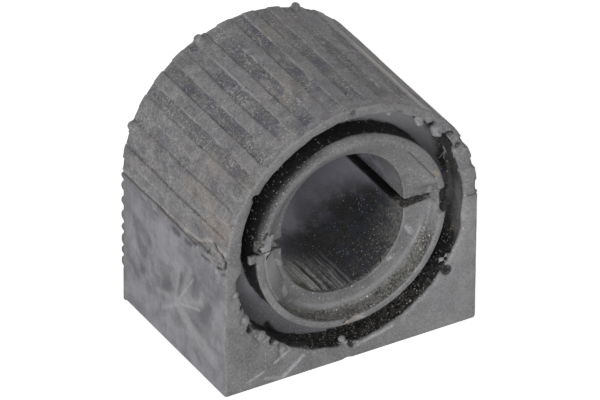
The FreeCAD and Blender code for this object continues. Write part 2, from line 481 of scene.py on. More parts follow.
@dataclass
class Graph:
    """A node tree, with short ways to add nodes and join them."""

    tree: Tree

    def add(self, kind: str, inputs: dict | None = None, **settings: object) -> Node:
        """Add a node.

        Args:
            kind: the node's type.
            inputs: a value or a socket for each named or numbered input.
            settings: the node's own properties.

        Returns:
            The node.
        """
        node = self.tree.nodes.new(kind)
        for name, value in settings.items():
            setattr(node, name, value)
        for key, value in (inputs or {}).items():
            self.feed(node.inputs[key], value)
        return node

    def feed(self, socket: Socket, value: object) -> None:
        """Join a socket to an input, or set the input's own value.

        Args:
            socket: the input.
            value: another socket, or a plain value.
        """
        if isinstance(value, bpy.types.NodeSocket):
            self.tree.links.new(value, socket)
        else:
            socket.default_value = value

    def math(self, operation: str, *values: object, clamp: bool = False) -> Socket:
        """One step of arithmetic on numbers or sockets."""
        node = self.add("ShaderNodeMath", dict(enumerate(values)), operation=operation, use_clamp=clamp)
        return node.outputs[0]

    def vector(self, operation: str, first: object, second: object) -> Socket:
        """One step of arithmetic on vectors."""
        return self.add("ShaderNodeVectorMath", {0: first, 1: second}, operation=operation).outputs[0]

    def dot(self, first: object, second: object) -> Socket:
        """The dot product of two vectors."""
        return self.add("ShaderNodeVectorMath", {0: first, 1: second}, operation="DOT_PRODUCT").outputs[1]

    def both(self, *values: object) -> Socket:
        """The product of several shares.

        Args:
            values: numbers or sockets.

        Returns:
            The product.
        """
        total = values[0]
        for value in values[1:]:
            total = self.math("MULTIPLY", total, value)
        return total

    def step(self, value: object, low: float, high: float,
             to_low: float = 0.0, to_high: float = 1.0) -> Socket:
        """A soft step between two values of a socket."""
        numbers = {0: value, 1: low, 2: high, 3: to_low, 4: to_high}
        return self.add("ShaderNodeMapRange", numbers, interpolation_type="SMOOTHSTEP").outputs[0]

    def band(self, value: object, low: float, high: float, soft: float) -> Socket:
        """One between two values of a socket and zero outside them.

        Args:
            value: the socket.
            low: the lower bound.
            high: the upper bound.
            soft: half the width of each soft end.

        Returns:
            The share.
        """
        rising = self.step(value, low - soft, low + soft)
        falling = self.step(value, high + soft, high - soft)
        return self.math("MULTIPLY", rising, falling)

    def blend(self, share: object, first: object, second: object) -> Socket:
        """Mix two colours by a share."""
        return self.add("ShaderNodeMix", {0: share, 6: first, 7: second}, data_type="RGBA").outputs[2]

    def lay(self, base: object, colour: object, *shares: object) -> Socket:
        """Lay a colour over another by the product of several shares."""
        return self.blend(self.both(*shares), base, colour)

    def use(self, group: Tree, **inputs: object) -> Node:
        """Place a node group.

        Args:
            group: the group.
            inputs: a value or a socket for each of its inputs.

        Returns:
            The group's node.
        """
        node = self.tree.nodes.new("ShaderNodeGroup")
        node.node_tree = group
        for name, value in inputs.items():
            self.feed(node.inputs[name], value)
        return node


class Effects:
    """The node groups that the rubber's finishes share, each built once."""

    def __init__(self, form: Form) -> None:
        """Build every group.

        Args:
            form: the bushing's sizes.
        """
        self.form = form
        self.place = self._place()
        self.dust = self._dust()
        self.mottle = self._mottle()
        self.scratches = self._scratches()
        self.grain = self._grain()
        self.stroke = self._stroke()

    @staticmethod
    def _group(name: str, inputs: dict[str, float | None],
               outputs: tuple[str, ...]) -> tuple[Graph, Node, Node]:
        """Start a group.

        Args:
            name: the group's name.
            inputs: each input's name and first value, or None for a vector.
            outputs: the names of its values.

        Returns:
            The group's graph, its input node and its output node.
        """
        tree = bpy.data.node_groups.new(name, "ShaderNodeTree")
        for label, value in inputs.items():
            kind = "NodeSocketVector" if value is None else "NodeSocketFloat"
            socket = tree.interface.new_socket(label, in_out="INPUT", socket_type=kind)
            if value is not None:
                socket.default_value = value
        for label in outputs:
            tree.interface.new_socket(label, in_out="OUTPUT", socket_type="NodeSocketFloat")
        graph = Graph(tree)
        return graph, graph.add("NodeGroupInput"), graph.add("NodeGroupOutput")

    def _place(self) -> Tree:
        """Where a point lies about the bar.

        Returns:
            The group, with the radius, angle, depth behind an end, height, and distance across and along.
        """
        labels = ("Radius", "Angle", "Depth", "Height", "Across", "Along")
        graph, given, out = self._group("place_about_bar", {"Place": None}, labels)
        parts = graph.add("ShaderNodeSeparateXYZ", {0: given.outputs[0]}).outputs
        across, along, height = (graph.math("DIVIDE", part, MM) for part in parts)
        rise = graph.math("SUBTRACT", height, self.form.axis_height)
        level, upright = graph.math("MULTIPLY", across, across), graph.math("MULTIPLY", rise, rise)
        squares = graph.math("ADD", level, upright)
        radius = graph.math("SQRT", squares)
        turn = graph.math("DEGREES", graph.math("ARCTAN2", rise, across))
        depth = graph.math("SUBTRACT", self.form.half_depth, graph.math("ABSOLUTE", along))
        for label, value in zip(labels, (radius, turn, depth, height, across, along)):
            graph.feed(out.inputs[label], value)
        return graph.tree

    def _dust(self) -> Tree:
        """Grains of dust: a share of the cells of a given size each hold one round grain.

        Returns:
            The group.
        """
        inputs = {"Place": None, "Spacing": 0.6, "Amount": 0.3, "Size": 0.3}
        graph, given, out = self._group("dust_grains", inputs, ("Grain",))
        scale = graph.math("DIVIDE", 1.0 / MM, given.outputs["Spacing"])
        cells = graph.add("ShaderNodeTexVoronoi", {"Vector": given.outputs["Place"], "Scale": scale})
        luck = graph.add("ShaderNodeSeparateColor", {0: cells.outputs["Color"]}).outputs
        present = graph.math("LESS_THAN", luck[0], given.outputs["Amount"])
        size = graph.both(given.outputs["Size"], graph.math("MULTIPLY_ADD", luck[1], 0.8, 0.4))
        outwards = graph.math("DIVIDE", cells.outputs["Distance"], size)
        inside = graph.math("SUBTRACT", 1.0, outwards, clamp=True)
        bright = graph.math("MULTIPLY_ADD", luck[2], 0.6, 0.4)
        graph.feed(out.inputs[0], graph.both(graph.step(inside, 0.0, 0.5), present, bright))
        return graph.tree

    def _mottle(self) -> Tree:
        """Cloudy patches of a given size, stretched along the bar by a factor.

        Returns:
            The group.
        """
        inputs = {"Place": None, "Size": 2.0, "Stretch": 1.0, "Detail": 4.0, "Low": 0.35, "High": 0.65}
        graph, given, out = self._group("cloudy_patches", inputs, ("Patch",))
        parts = graph.add("ShaderNodeSeparateXYZ", {0: given.outputs["Place"]}).outputs
        along = graph.math("DIVIDE", parts[1], given.outputs["Stretch"])
        place = graph.add("ShaderNodeCombineXYZ", {0: parts[0], 1: along, 2: parts[2]}).outputs[0]
        scale = graph.math("DIVIDE", 1.0 / MM, given.outputs["Size"])
        noise = {"Vector": place, "Scale": scale, "Detail": given.outputs["Detail"]}
        cloud = graph.add("ShaderNodeTexNoise", noise).outputs[0]
        graph.feed(out.inputs[0], graph.step(cloud, given.outputs["Low"], given.outputs["High"]))
        return graph.tree

    def _scratches(self) -> Tree:
        """Thin scratches along one direction, given by how far each axis is stretched.

        Returns:
            The group.
        """
        inputs = {"Place": None, "Stretch": None, "Width": 0.3, "Amount": 0.3}
        graph, given, out = self._group("thin_scratches", inputs, ("Scratch",))
        scale = graph.math("DIVIDE", 1.0 / MM, given.outputs["Width"])
        bend = {"Vector": given.outputs["Place"], "Scale": 0.25 / MM, "Detail": 1.0}
        warp = graph.add("ShaderNodeTexNoise", bend).outputs[1]
        shift = graph.vector("MULTIPLY", warp, (0.6 * MM, 0.6 * MM, 0.6 * MM))
        moved = graph.vector("ADD", given.outputs["Place"], shift)
        place = graph.vector("DIVIDE", moved, given.outputs["Stretch"])
        lines = graph.add("ShaderNodeTexNoise", {"Vector": place, "Scale": scale, "Detail": 1.0})
        edge = graph.math("SUBTRACT", 0.82, graph.math("MULTIPLY", given.outputs["Amount"], 0.3))
        over = graph.math("SUBTRACT", lines.outputs[0], edge)
        graph.feed(out.inputs[0], graph.math("MULTIPLY", over, 12.0, clamp=True))
        return graph.tree

    def _grain(self) -> Tree:
        """The rubber's fine relief: a close grain over slow lumps, as a height in millimetres.

        Returns:
            The group.
        """
        inputs = {"Place": None, "Fine": 0.02, "Coarse": 0.05}
        graph, given, out = self._group("rubber_relief", inputs, ("Height",))
        place = given.outputs["Place"]
        fine = graph.add("ShaderNodeTexNoise", {"Vector": place, "Scale": 4.5 / MM, "Detail": 3.0})
        coarse = graph.add("ShaderNodeTexNoise", {"Vector": place, "Scale": 0.9 / MM, "Detail": 2.0})
        low = graph.math("MULTIPLY", fine.outputs[0], given.outputs["Fine"])
        height = graph.math("MULTIPLY_ADD", coarse.outputs[0], given.outputs["Coarse"], low)
        graph.feed(out.inputs[0], height)
        return graph.tree

    def _stroke(self) -> Tree:
        """A straight stroke between two places in millimetres, with the weight of each axis.

        Returns:
            The group.
        """
        inputs = {"Place": None, "Start": None, "End": None, "Weight": None, "Width": 0.5}
        graph, given, out = self._group("drawn_stroke", inputs, ("Stroke",))
        weight = given.outputs["Weight"]
        place = graph.vector("MULTIPLY", given.outputs["Place"], (1.0 / MM, 1.0 / MM, 1.0 / MM))
        start = graph.vector("MULTIPLY", given.outputs["Start"], weight)
        end = graph.vector("MULTIPLY", given.outputs["End"], weight)
        from_start = graph.vector("SUBTRACT", graph.vector("MULTIPLY", place, weight), start)
        run = graph.vector("SUBTRACT", end, start)
        along = graph.math("DIVIDE", graph.dot(from_start, run), graph.dot(run, run), clamp=True)
        reached = graph.add("ShaderNodeVectorMath", {0: run, 3: along}, operation="SCALE").outputs[0]
        between = {0: from_start, 1: reached}
        gap = graph.add("ShaderNodeVectorMath", between, operation="DISTANCE").outputs[1]
        share = graph.step(graph.math("DIVIDE", gap, given.outputs["Width"]), 1.0, STROKE_CORE)
        graph.feed(out.inputs[0], share)
        return graph.tree


# What each point of the mesh keeps from before it was worked, for the finishes to read; dark and light
# carry the ribs' painted shade and painted highlight, and torn the painted shade in the dents
STORED = ("groove", "dark", "light", "bare", "torn", "rest_depth", "rest_radius", "shaded", "rubbed")


@dataclass
class Surface(Graph):
    """A finish's node tree, with the place of each point about the bar and what the mesh stores there."""

    effects: Effects
    at: dict[str, Socket] = field(default_factory=dict)

    def __post_init__(self) -> None:
        """Read the place, radius, angle, depth, height, across and along, and each stored value."""
        place = self.add("ShaderNodeTexCoord").outputs["Object"]
        about = self.use(self.effects.place, Place=place)
        for socket in about.outputs:
            self.at[socket.name.lower()] = socket
        self.at["place"] = place
        for label in STORED:
            self.at[label] = self.add("ShaderNodeAttribute", attribute_name=label).outputs["Fac"]

    def rise(self, name: str, low: float, high: float) -> Socket:
        """A soft step from 0 at low to 1 at high along one of the point's values."""
        return self.step(self.at[name], low, high)

    def zone(self, name: str, low: float, high: float, soft: float) -> Socket:
        """One between two bounds of one of the point's values and zero outside them."""
        return self.band(self.at[name], low, high, soft)

    def clouds(self, size: float, low: float, high: float,
               stretch: float = 1.0, detail: float = 4.0) -> Socket:
        """Cloudy patches of a size in millimetres."""
        node = self.use(self.effects.mottle, Place=self.at["place"], Size=size, Stretch=stretch,
                        Detail=detail, Low=low, High=high)
        return node.outputs[0]

    def dust(self, spacing: float, amount: object, size: float) -> Socket:
        """Grains of dust."""
        node = self.use(self.effects.dust, Place=self.at["place"], Spacing=spacing, Amount=amount,
                        Size=size)
        return node.outputs[0]

    def scratches(self, stretch: Place, width: float, amount: float) -> Socket:
        """Thin scratches."""
        node = self.use(self.effects.scratches, Place=self.at["place"], Stretch=stretch, Width=width,
                        Amount=amount)
        return node.outputs[0]

    def relief(self, fine: float, coarse: float) -> Socket:
        """The rubber's fine relief, as a height in millimetres."""
        return self.use(self.effects.grain, Place=self.at["place"], Fine=fine, Coarse=coarse).outputs[0]

    def stroke(self, stroke: Stroke) -> Socket:
        """The share of one stroke, from 0 beside it to 1 on its line."""
        node = self.use(self.effects.stroke, Place=self.at["place"], Start=stroke.start, End=stroke.end,
                        Weight=stroke.side.value, Width=stroke.width)
        return node.outputs[0]


@dataclass(frozen=True)
class Rubber:
    """What every rubber finish has in common: how dull it is, its marks and how its relief shows."""

    effects: Effects
    name: str
    strokes: tuple[Stroke, ...] = ()
    roughness: float = 0.62
    specular: float = 0.35
    crack: Colour = paint(34, 33, 32)
    rub: Colour = paint(160, 159, 160)
    stain: Colour = paint(150, 134, 118)
    shade: Colour = paint(64, 63, 67)
    scuff: Colour = paint(156, 148, 144)
    grit: Colour = paint(182, 180, 174)

    def start(self) -> tuple[bpy.types.Material, Surface]:
        """Make an empty material.

        Returns:
            The material and its surface.
        """
        material = bpy.data.materials.new(self.name)
        material.use_nodes = True
        material.node_tree.nodes.clear()
        return material, Surface(material.node_tree, self.effects)

    def mark(self, surface: Surface, base: object) -> Socket:
        """Draw every stroke over a colour, each broken up a little by a close grain.

        Args:
            surface: the material's surface.
            base: the colour under the strokes.

        Returns:
            The colour with the strokes.
        """
        broken = surface.clouds(0.5, 0.25, 0.55, detail=3.0)
        uneven = surface.math("MULTIPLY_ADD", broken, 0.5, 0.5)
        base = surface.lay(base, self.shade, surface.at["shaded"], uneven)
        base = surface.lay(base, self.rub, surface.at["rubbed"], uneven)
        for stroke in (stroke for stroke in self.strokes if not stroke.is_wide):
            drawn = surface.both(surface.stroke(stroke), stroke.strength)
            if stroke.kind is not Mark.CRACK:
                drawn = surface.both(drawn, broken)
            base = surface.blend(drawn, base, getattr(self, stroke.kind.value))
        return base

    def finish(self, surface: Surface, colour: object, height: object) -> None:
        """Join colour and relief to the shader.

        Args:
            surface: the material's surface.
            colour: the base colour.
            height: the relief in millimetres.
        """
        bump = surface.add("ShaderNodeBump", {"Strength": 1.0, "Distance": MM, "Height": height})
        shader = surface.add("ShaderNodeBsdfPrincipled", {
            "Base Color": colour,
            "Roughness": self.roughness,
            "Specular IOR Level": self.specular,
            "Normal": bump.outputs[0],
        })
        output = surface.add("ShaderNodeOutputMaterial")
        surface.feed(output.inputs[0], shader.outputs[0])


@dataclass(frozen=True)
class OuterSkin(Rubber):
    """The ribbed back, the flanks and the base: scuffed grey with violet and tan patches."""

    land_low: Colour = paint(99, 98, 99)
    land_high: Colour = paint(128, 127, 128)
    land_smudge: Colour = paint(78, 77, 80)
    groove_low: Colour = paint(44, 43, 45)
    groove_high: Colour = paint(98, 97, 98)
    bruise: Colour = paint(64, 62, 76)
    violet: Colour = paint(86, 84, 98)
    tan: Colour = paint(134, 124, 116)
    scrawl: Colour = paint(158, 157, 156)
    pale_rim: Colour = paint(172, 164, 156)
    flank_low: Colour = paint(92, 91, 96)
    flank_high: Colour = paint(126, 125, 130)
    flank_patch: Colour = paint(80, 79, 84)
    flash: Colour = paint(88, 86, 82)

    def build(self) -> bpy.types.Material:
        """Make the material.

        Returns:
            The material.
        """
        material, surface = self.start()
        grit = surface.clouds(0.4, 0.3, 0.7, detail=3.0)
        base = self._back(surface, grit)
        base = surface.lay(base, self._flank(surface, grit), surface.rise("height", 24.3, 24.0))
        corner = surface.both(surface.rise("across", -22.2, -22.7), surface.rise("along", 15.4, 15.9))
        base = surface.lay(base, self.flash, corner, 0.5)
        base = self.mark(surface, base)
        base = surface.lay(base, self.grit, surface.dust(0.9, 0.12, 0.14), 0.7)
        in_groove = surface.both(grit, surface.at["groove"], 0.05)
        self.finish(surface, base, surface.math("ADD", surface.relief(0.05, 0.05), in_groove))
        return material

    def _back(self, surface: Surface, grit: Socket) -> Socket:
        """The ribbed back: flat lands, rough grooves, and the painted highlight and painted shade along the
        lines between them.

        Args:
            surface: the material's surface.
            grit: its close grain.

        Returns:
            The colour.
        """
        fleck = surface.clouds(1.2, 0.36, 0.64, stretch=1.5, detail=6.0)
        land = self._land(surface, grit)
        groove = self._groove(surface, grit, fleck)
        base = surface.blend(self._groove_share(surface, fleck), land, groove)
        # painted highlight on each groove's upper lip, in the rub colour
        base = surface.lay(base, self.rub, surface.at["light"], surface.step(fleck, 0.25, 0.75), 0.75)
        broken = surface.math("MULTIPLY_ADD", fleck, -0.4, 0.9)
        # painted shade, with some dirt, along each groove's lower line, in the crack colour
        base = surface.lay(base, self.crack, surface.at["dark"], broken)
        return self._wear(surface, base)

    def _land(self, surface: Surface, grit: Socket) -> Socket:
        """The flat ribs: plain grey with smudges, and with violet and tan stretches.

        Args:
            surface: the material's surface.
            grit: its close grain.

        Returns:
            The colour.
        """
        slow = surface.clouds(9.0, 0.45, 0.65, stretch=1.8, detail=3.0)
        tint = surface.clouds(6.0, 0.52, 0.72, stretch=2.5, detail=3.0)
        warm = surface.math("MULTIPLY_ADD", surface.rise("angle", 130.0, 165.0), 0.3, 0.4)
        land = surface.blend(grit, self.land_low, self.land_high)
        land = surface.lay(land, self.land_smudge, surface.clouds(1.8, 0.44, 0.66, detail=6.0), 0.5)
        land = surface.lay(land, self.violet, slow, 0.25)
        return surface.lay(land, self.tan, tint, warm)

    def _groove(self, surface: Surface, grit: Socket, fleck: Socket) -> Socket:
        """The grooves' dark grey, flecked and bruised with violet.

        Args:
            surface: the material's surface.
            grit: its close grain.
            fleck: its flecks.

        Returns:
            The colour.
        """
        groove = surface.blend(grit, self.groove_low, self.groove_high)
        groove = surface.lay(groove, self.land_low, fleck, 0.5)
        return surface.lay(groove, self.bruise, surface.clouds(2.6, 0.5, 0.6, stretch=2.0), 0.7)

    def _groove_share(self, surface: Surface, fleck: Socket) -> Socket:
        """Where the grooves' colour lies: in the grooves that no dirt fills, and spilt beside them.

        Args:
            surface: the material's surface.
            fleck: its flecks, which make the edges ragged.

        Returns:
            The share.
        """
        groove = surface.at["groove"]
        ragged = surface.math("MULTIPLY_ADD", fleck, 0.6, surface.math("SUBTRACT", groove, 0.3))
        filled = surface.clouds(3.4, 0.46, 0.6, stretch=2.2, detail=5.0)
        clear = surface.math("MULTIPLY_ADD", filled, -0.8, 1.0)
        share = surface.both(surface.step(ragged, 0.15, 0.75), clear, groove)
        spilt = surface.both(surface.clouds(2.8, 0.55, 0.62, stretch=2.0, detail=6.0), 0.55)
        return surface.math("MAXIMUM", share, spilt)

    def _wear(self, surface: Surface, base: Socket) -> Socket:
        """Lay crusts of grit, thin pale scrawls, the worn rib on the right and dust over the back.

        Args:
            surface: the material's surface.
            base: the back's colour.

        Returns:
            The colour with its wear.
        """
        groove = surface.at["groove"]
        crust = surface.both(surface.clouds(0.42, 0.5, 0.64, detail=5.0), surface.clouds(4.5, 0.46, 0.6))
        base = surface.lay(base, self.grit, crust, surface.math("MULTIPLY_ADD", groove, 0.2, 0.2))
        wave = surface.math("SUBTRACT", surface.clouds(1.3, 0.0, 1.0, detail=3.0), 0.5)
        line = surface.step(surface.math("ABSOLUTE", wave), 0.035, 0.0)
        base = surface.lay(base, self.scrawl, line, surface.clouds(4.0, 0.48, 0.6), 0.45)
        rim = surface.both(surface.zone("angle", 53.0, 57.0, 1.2), surface.rise("along", 14.0, 0.0))
        base = surface.lay(base, self.pale_rim, rim, 0.6)
        specks = surface.dust(0.42, surface.math("MULTIPLY_ADD", groove, 0.5, 0.12), 0.3)
        return surface.lay(base, self.grit, specks, 0.8)

    def _flank(self, surface: Surface, grit: Socket) -> Socket:
        """The flanks: soft violet grey, wiped and lightly scratched two ways.

        Args:
            surface: the material's surface.
            grit: its close grain.

        Returns:
            The colour.
        """
        wipe = surface.clouds(6.5, 0.34, 0.66, detail=5.0)
        flank = surface.blend(wipe, self.flank_low, self.flank_high)
        flank = surface.lay(flank, self.rub, grit, 0.2)
        flank = surface.lay(flank, self.flank_patch, surface.clouds(2.4, 0.5, 0.66, detail=5.0), 0.38)
        for stretch in ((1.0, 2.2, 9.0), (1.0, 14.0, 3.0)):
            flank = surface.lay(flank, self.rub, surface.scratches(stretch, 0.35, 0.85), 0.14)
        return flank


@dataclass(frozen=True)
class EndFace(Rubber):
    """Both ends: the plain face, the ring groove with its painted shade in black, the collar's dusty inside
    and the sunk face.
    """

    face_low: Colour = paint(97, 97, 98)
    face_high: Colour = paint(114, 114, 114)
    face_shade: Colour = paint(76, 77, 77)
    face_smudge: Colour = paint(84, 84, 85)
    pit: Colour = paint(80, 80, 80)
    slope_light: Colour = paint(176, 176, 176)
    inner_band: Colour = paint(84, 84, 84)
    # painted shade: the ring groove's walls are near black for the shade inside the groove
    wall_shade: Colour = paint(21, 21, 24)
    caked: Colour = paint(78, 76, 70)
    brown: Colour = paint(88, 85, 79)
    floor: Colour = paint(118, 117, 122)
    # painted light: the floor's left and upper right are made paler to offset the walls' shade
    floor_light_left: Colour = paint(160, 159, 165)
    floor_light_right: Colour = paint(160, 159, 162)
    sand_low: Colour = paint(46, 46, 44)
    sand_high: Colour = paint(112, 111, 108)
    sand_patch: Colour = paint(134, 133, 130)
    sand_grain: Colour = paint(214, 212, 206)
    rub: Colour = paint(172, 171, 174)
    slot_shade_low: Colour = paint(38, 37, 36)
    slot_shade_high: Colour = paint(108, 106, 102)

    def build(self) -> bpy.types.Material:
        """Make the material.

        Returns:
            The material.
        """
        material, surface = self.start()
        grit = surface.clouds(0.4, 0.3, 0.7, detail=3.0)
        fleck = surface.clouds(1.1, 0.38, 0.62, detail=6.0)
        coarse, dust = self._dust(surface)
        base = self._plain(surface, grit, coarse)
        share, ring = self._ring(surface, fleck, dust)
        base = surface.lay(base, ring, share)
        share, sand = self._sand(surface, grit)
        base = surface.lay(base, sand, share)
        # painted shade, broken by grit, in the slots and on the hinge gap's floor
        slot = surface.blend(grit, self.slot_shade_low, self.slot_shade_high)
        base = surface.lay(base, slot, self._in_slot(surface))
        # painted shade: the dents are black, with some dust, for the shade in them
        torn = surface.blend(dust, self.wall_shade, self.grit)
        base = surface.lay(base, torn, surface.at["torn"], 0.95)
        base = self.mark(surface, base)
        self.finish(surface, base, surface.math("MULTIPLY_ADD", dust, 0.05, surface.relief(0.03, 0.05)))
        return material

    def _dust(self, surface: Surface) -> tuple[Socket, Socket]:
        """Dust in three sizes of grain, thicker low down.

        Args:
            surface: the material's surface.

        Returns:
            The coarse grains alone, and all the dust.
        """
        low_down = surface.rise("height", 22.0, 6.0)
        shelf = surface.both(surface.zone("angle", 20.0, 75.0, 10.0), 0.3)
        amount = surface.math("MULTIPLY_ADD", low_down, 0.5, surface.math("ADD", shelf, 0.25))
        fine = surface.dust(0.42, amount, 0.34)
        coarse = surface.dust(0.9, surface.math("MULTIPLY_ADD", low_down, 0.4, 0.25), 0.22)
        bigger = surface.dust(0.63, surface.math("MULTIPLY_ADD", low_down, 0.35, 0.1), 0.27)
        return coarse, surface.math("MAXIMUM", fine, surface.math("MAXIMUM", coarse, bigger))

    def _in_slot(self, surface: Surface) -> Socket:
        """The share of the slots that open in the sleeve's face and in the collar, where painted shade
        goes.

        Args:
            surface: the material's surface.

        Returns:
            The share.
        """
        form = self.effects.form
        sunk = surface.rise("rest_depth", form.sleeve_depth + 0.1, form.sleeve_depth + 0.35)
        near = surface.rise("rest_radius", form.sleeve_edge - 0.4, form.sleeve_edge - 0.8)
        return surface.math("MAXIMUM", surface.both(sunk, near), self._hinge_gap(surface))

    def _hinge_gap(self, surface: Surface) -> Socket:
        """The gap in the collar on the left, where the hinge's slot cuts through it and painted shade goes
        on its floor.

        Args:
            surface: the material's surface.

        Returns:
            The share.
        """
        left = surface.rise("across", -13.0, -14.0)
        front = surface.both(surface.rise("along", 0.0, -1.0), surface.rise("rest_radius", 17.35, 17.2))
        gap = surface.both(surface.zone("height", 25.2, 27.0, 0.15), surface.rise("rest_depth", 0.5, 0.9))
        return surface.both(left, front, gap, surface.math("SUBTRACT", 1.0, surface.at["bare"]))

    def _plain(self, surface: Surface, grit: Socket, coarse: Socket) -> Socket:
        """The plain face, with a fine grain, specks of dust and the sleeve's softly banded face.

        Args:
            surface: the material's surface.
            grit: its close grain.
            coarse: its coarse dust.

        Returns:
            The colour.
        """
        face = surface.blend(surface.clouds(4.0, 0.38, 0.64, detail=5.0), self.face_high, self.face_low)
        face = surface.lay(face, self.rub, surface.rise("across", 0.0, 20.0), 0.2)
        upper = surface.both(surface.rise("angle", -8.0, 4.0), surface.rise("angle", 85.0, 50.0))
        face = surface.lay(face, self.face_shade, upper, 0.4)
        face = surface.lay(face, self.rub, grit, 0.24)
        face = surface.lay(face, self.face_smudge, surface.clouds(1.3, 0.45, 0.68, detail=6.0), 0.22)
        face = surface.lay(face, self.pit, surface.clouds(0.3, 0.5, 0.7), 0.35)
        face = surface.lay(face, self.rub, surface.at["bare"], 0.22)
        face = self._banded(surface, face)
        face = surface.lay(face, self.grit, surface.dust(0.5, 0.4, 0.26), 0.6)
        return surface.lay(face, self.grit, coarse, 0.8)

    def _banded(self, surface: Surface, face: Socket) -> Socket:
        """Lay painted light on the slanted part on the left, and the two bands round the sleeve's face.

        Args:
            surface: the material's surface.
            face: the colour under them.

        Returns:
            The colour with them.
        """
        # painted light: the slanted face on the left is lightened where it faces away from the key light
        beside = surface.both(surface.rise("across", -9.0, -13.0), surface.rise("height", 17.0, 21.0))
        sloping = surface.zone("rest_radius", 13.0, 16.0, 0.3)
        face = surface.lay(face, self.slope_light, beside, sloping, surface.rise("height", 26.0, 25.5), 0.6)
        low, sunk = surface.rise("height", 25.0, 18.0), surface.rise("rest_depth", 2.0, 2.6)
        lower = surface.both(low, sunk, surface.rise("across", -12.0, -6.0))
        face = surface.lay(face, self.inner_band, surface.zone("radius", 11.9, 13.4, 0.35), lower, 0.3)
        return surface.lay(face, self.rub, surface.zone("radius", 14.6, 15.5, 0.35), lower, 0.35)

    def _ring(self, surface: Surface, fleck: Socket, dust: Socket) -> tuple[Socket, Socket]:
        """The ring groove: painted shade, black, on its walls and violet grey on its floor.

        Args:
            surface: the material's surface.
            fleck: its flecks, which make the edges ragged.
            dust: its dust.

        Returns:
            The groove's share and its colour.
        """
        on_floor = self._ring_floor_share(surface, fleck)
        ring = surface.blend(on_floor, self._ring_wall_shade(surface), self._ring_floor(surface))
        dusty = surface.math("MULTIPLY_ADD", on_floor, -0.3, 0.95)
        return self._ring_share(surface, fleck), surface.lay(ring, self.grit, dust, dusty)

    def _ring_share(self, surface: Surface, fleck: Socket) -> Socket:
        """Where the ring groove's painted shade lies, thinner at the outer wall on the right and speckled
        over the collar's worn rim on the upper left.

        Args:
            surface: the material's surface.
            fleck: its flecks.

        Returns:
            The share.
        """
        form, depth, radius = self.effects.form, surface.at["rest_depth"], surface.at["rest_radius"]
        ragged = surface.math("MULTIPLY_ADD", fleck, 0.14, surface.math("SUBTRACT", depth, 0.07))
        behind = surface.step(ragged, 0.1, 0.8)
        past_collar = surface.step(radius, form.ring_inner - 0.7, form.ring_inner - 0.3)
        within_wall = surface.step(radius, form.ring_outer + 0.9, form.ring_outer + 0.45)
        at_wall = surface.step(radius, form.ring_outer - 1.2, form.ring_outer + 0.4)
        # the painted shade fades towards the outer wall on the right
        fading = surface.both(surface.zone("angle", -18.0, 26.0, 6.0), at_wall)
        kept = surface.math("MULTIPLY_ADD", fading, -0.45, 1.0)
        share = surface.both(behind, past_collar, within_wall, kept)
        worn = surface.both(surface.rise("angle", 95.0, 125.0), surface.rise("angle", 178.0, 170.0))
        specks = surface.clouds(0.22, 0.3, 0.7, detail=3.0)
        speckle = surface.math("MULTIPLY_ADD", specks, 0.45, radius)
        faded = surface.step(speckle, form.ring_inner - 0.95, form.ring_inner + 0.45)
        speckled = surface.both(faded, worn, within_wall, surface.step(radius, 20.0, 19.0))
        share = surface.math("MAXIMUM", share, speckled)
        return surface.both(share, surface.math("SUBTRACT", 1.0, surface.rise("bare", 0.2, 0.7)))

    def _ring_floor_share(self, surface: Surface, fleck: Socket) -> Socket:
        """Where the groove's floor shows: at its depth, apart from a bulge on the right that keeps the
        walls' painted shade.

        Args:
            surface: the material's surface.
            fleck: its flecks.

        Returns:
            The share.
        """
        depth = self.effects.form.ring_depth
        uneven = surface.math("MULTIPLY_ADD", fleck, 0.2, surface.at["rest_depth"])
        on_floor = surface.step(uneven, depth - 0.4, depth)
        bulge = surface.both(surface.zone("angle", 8.0, 20.0, 5.0), 0.8)
        ragged = surface.math("MULTIPLY_ADD", fleck, 0.4, surface.at["rest_radius"])
        edge = surface.math("ADD", ragged, bulge)
        # painted shade: the walls' black reaches over the floor on the right
        dark = surface.both(surface.zone("angle", -14.0, 44.0, 4.0), surface.step(edge, 19.7, 21.3))
        return surface.both(on_floor, surface.math("SUBTRACT", 1.0, dark))

    def _ring_floor(self, surface: Surface) -> Socket:
        """The groove's floor, with painted light on the left and on the upper right, where the walls shade
        it.

        Args:
            surface: the material's surface.

        Returns:
            The colour.
        """
        left, right = surface.zone("angle", -178.0, -148.0, 8.0), surface.zone("angle", 22.0, 72.0, 8.0)
        floor = surface.lay(self.floor, self.floor_light_left, left, 0.7)
        return surface.lay(floor, self.floor_light_right, right, 0.5)

    def _ring_wall_shade(self, surface: Surface) -> Socket:
        """The groove's walls: painted shade in black, caked low down and brown on the right.

        Args:
            surface: the material's surface.

        Returns:
            The colour.
        """
        caking = surface.math("MULTIPLY_ADD", surface.rise("height", 16.0, 5.0), 0.45, 0.1)
        wall_shade = surface.lay(self.wall_shade, self.caked, surface.clouds(0.7, 0.4, 0.62, detail=5.0), caking)
        right, near = surface.zone("angle", -22.0, 16.0, 6.0), surface.rise("rest_radius", 20.3, 21.0)
        patches = surface.clouds(1.6, 0.35, 0.6, detail=5.0)
        return surface.lay(wall_shade, self.brown, right, near, patches, 0.7)

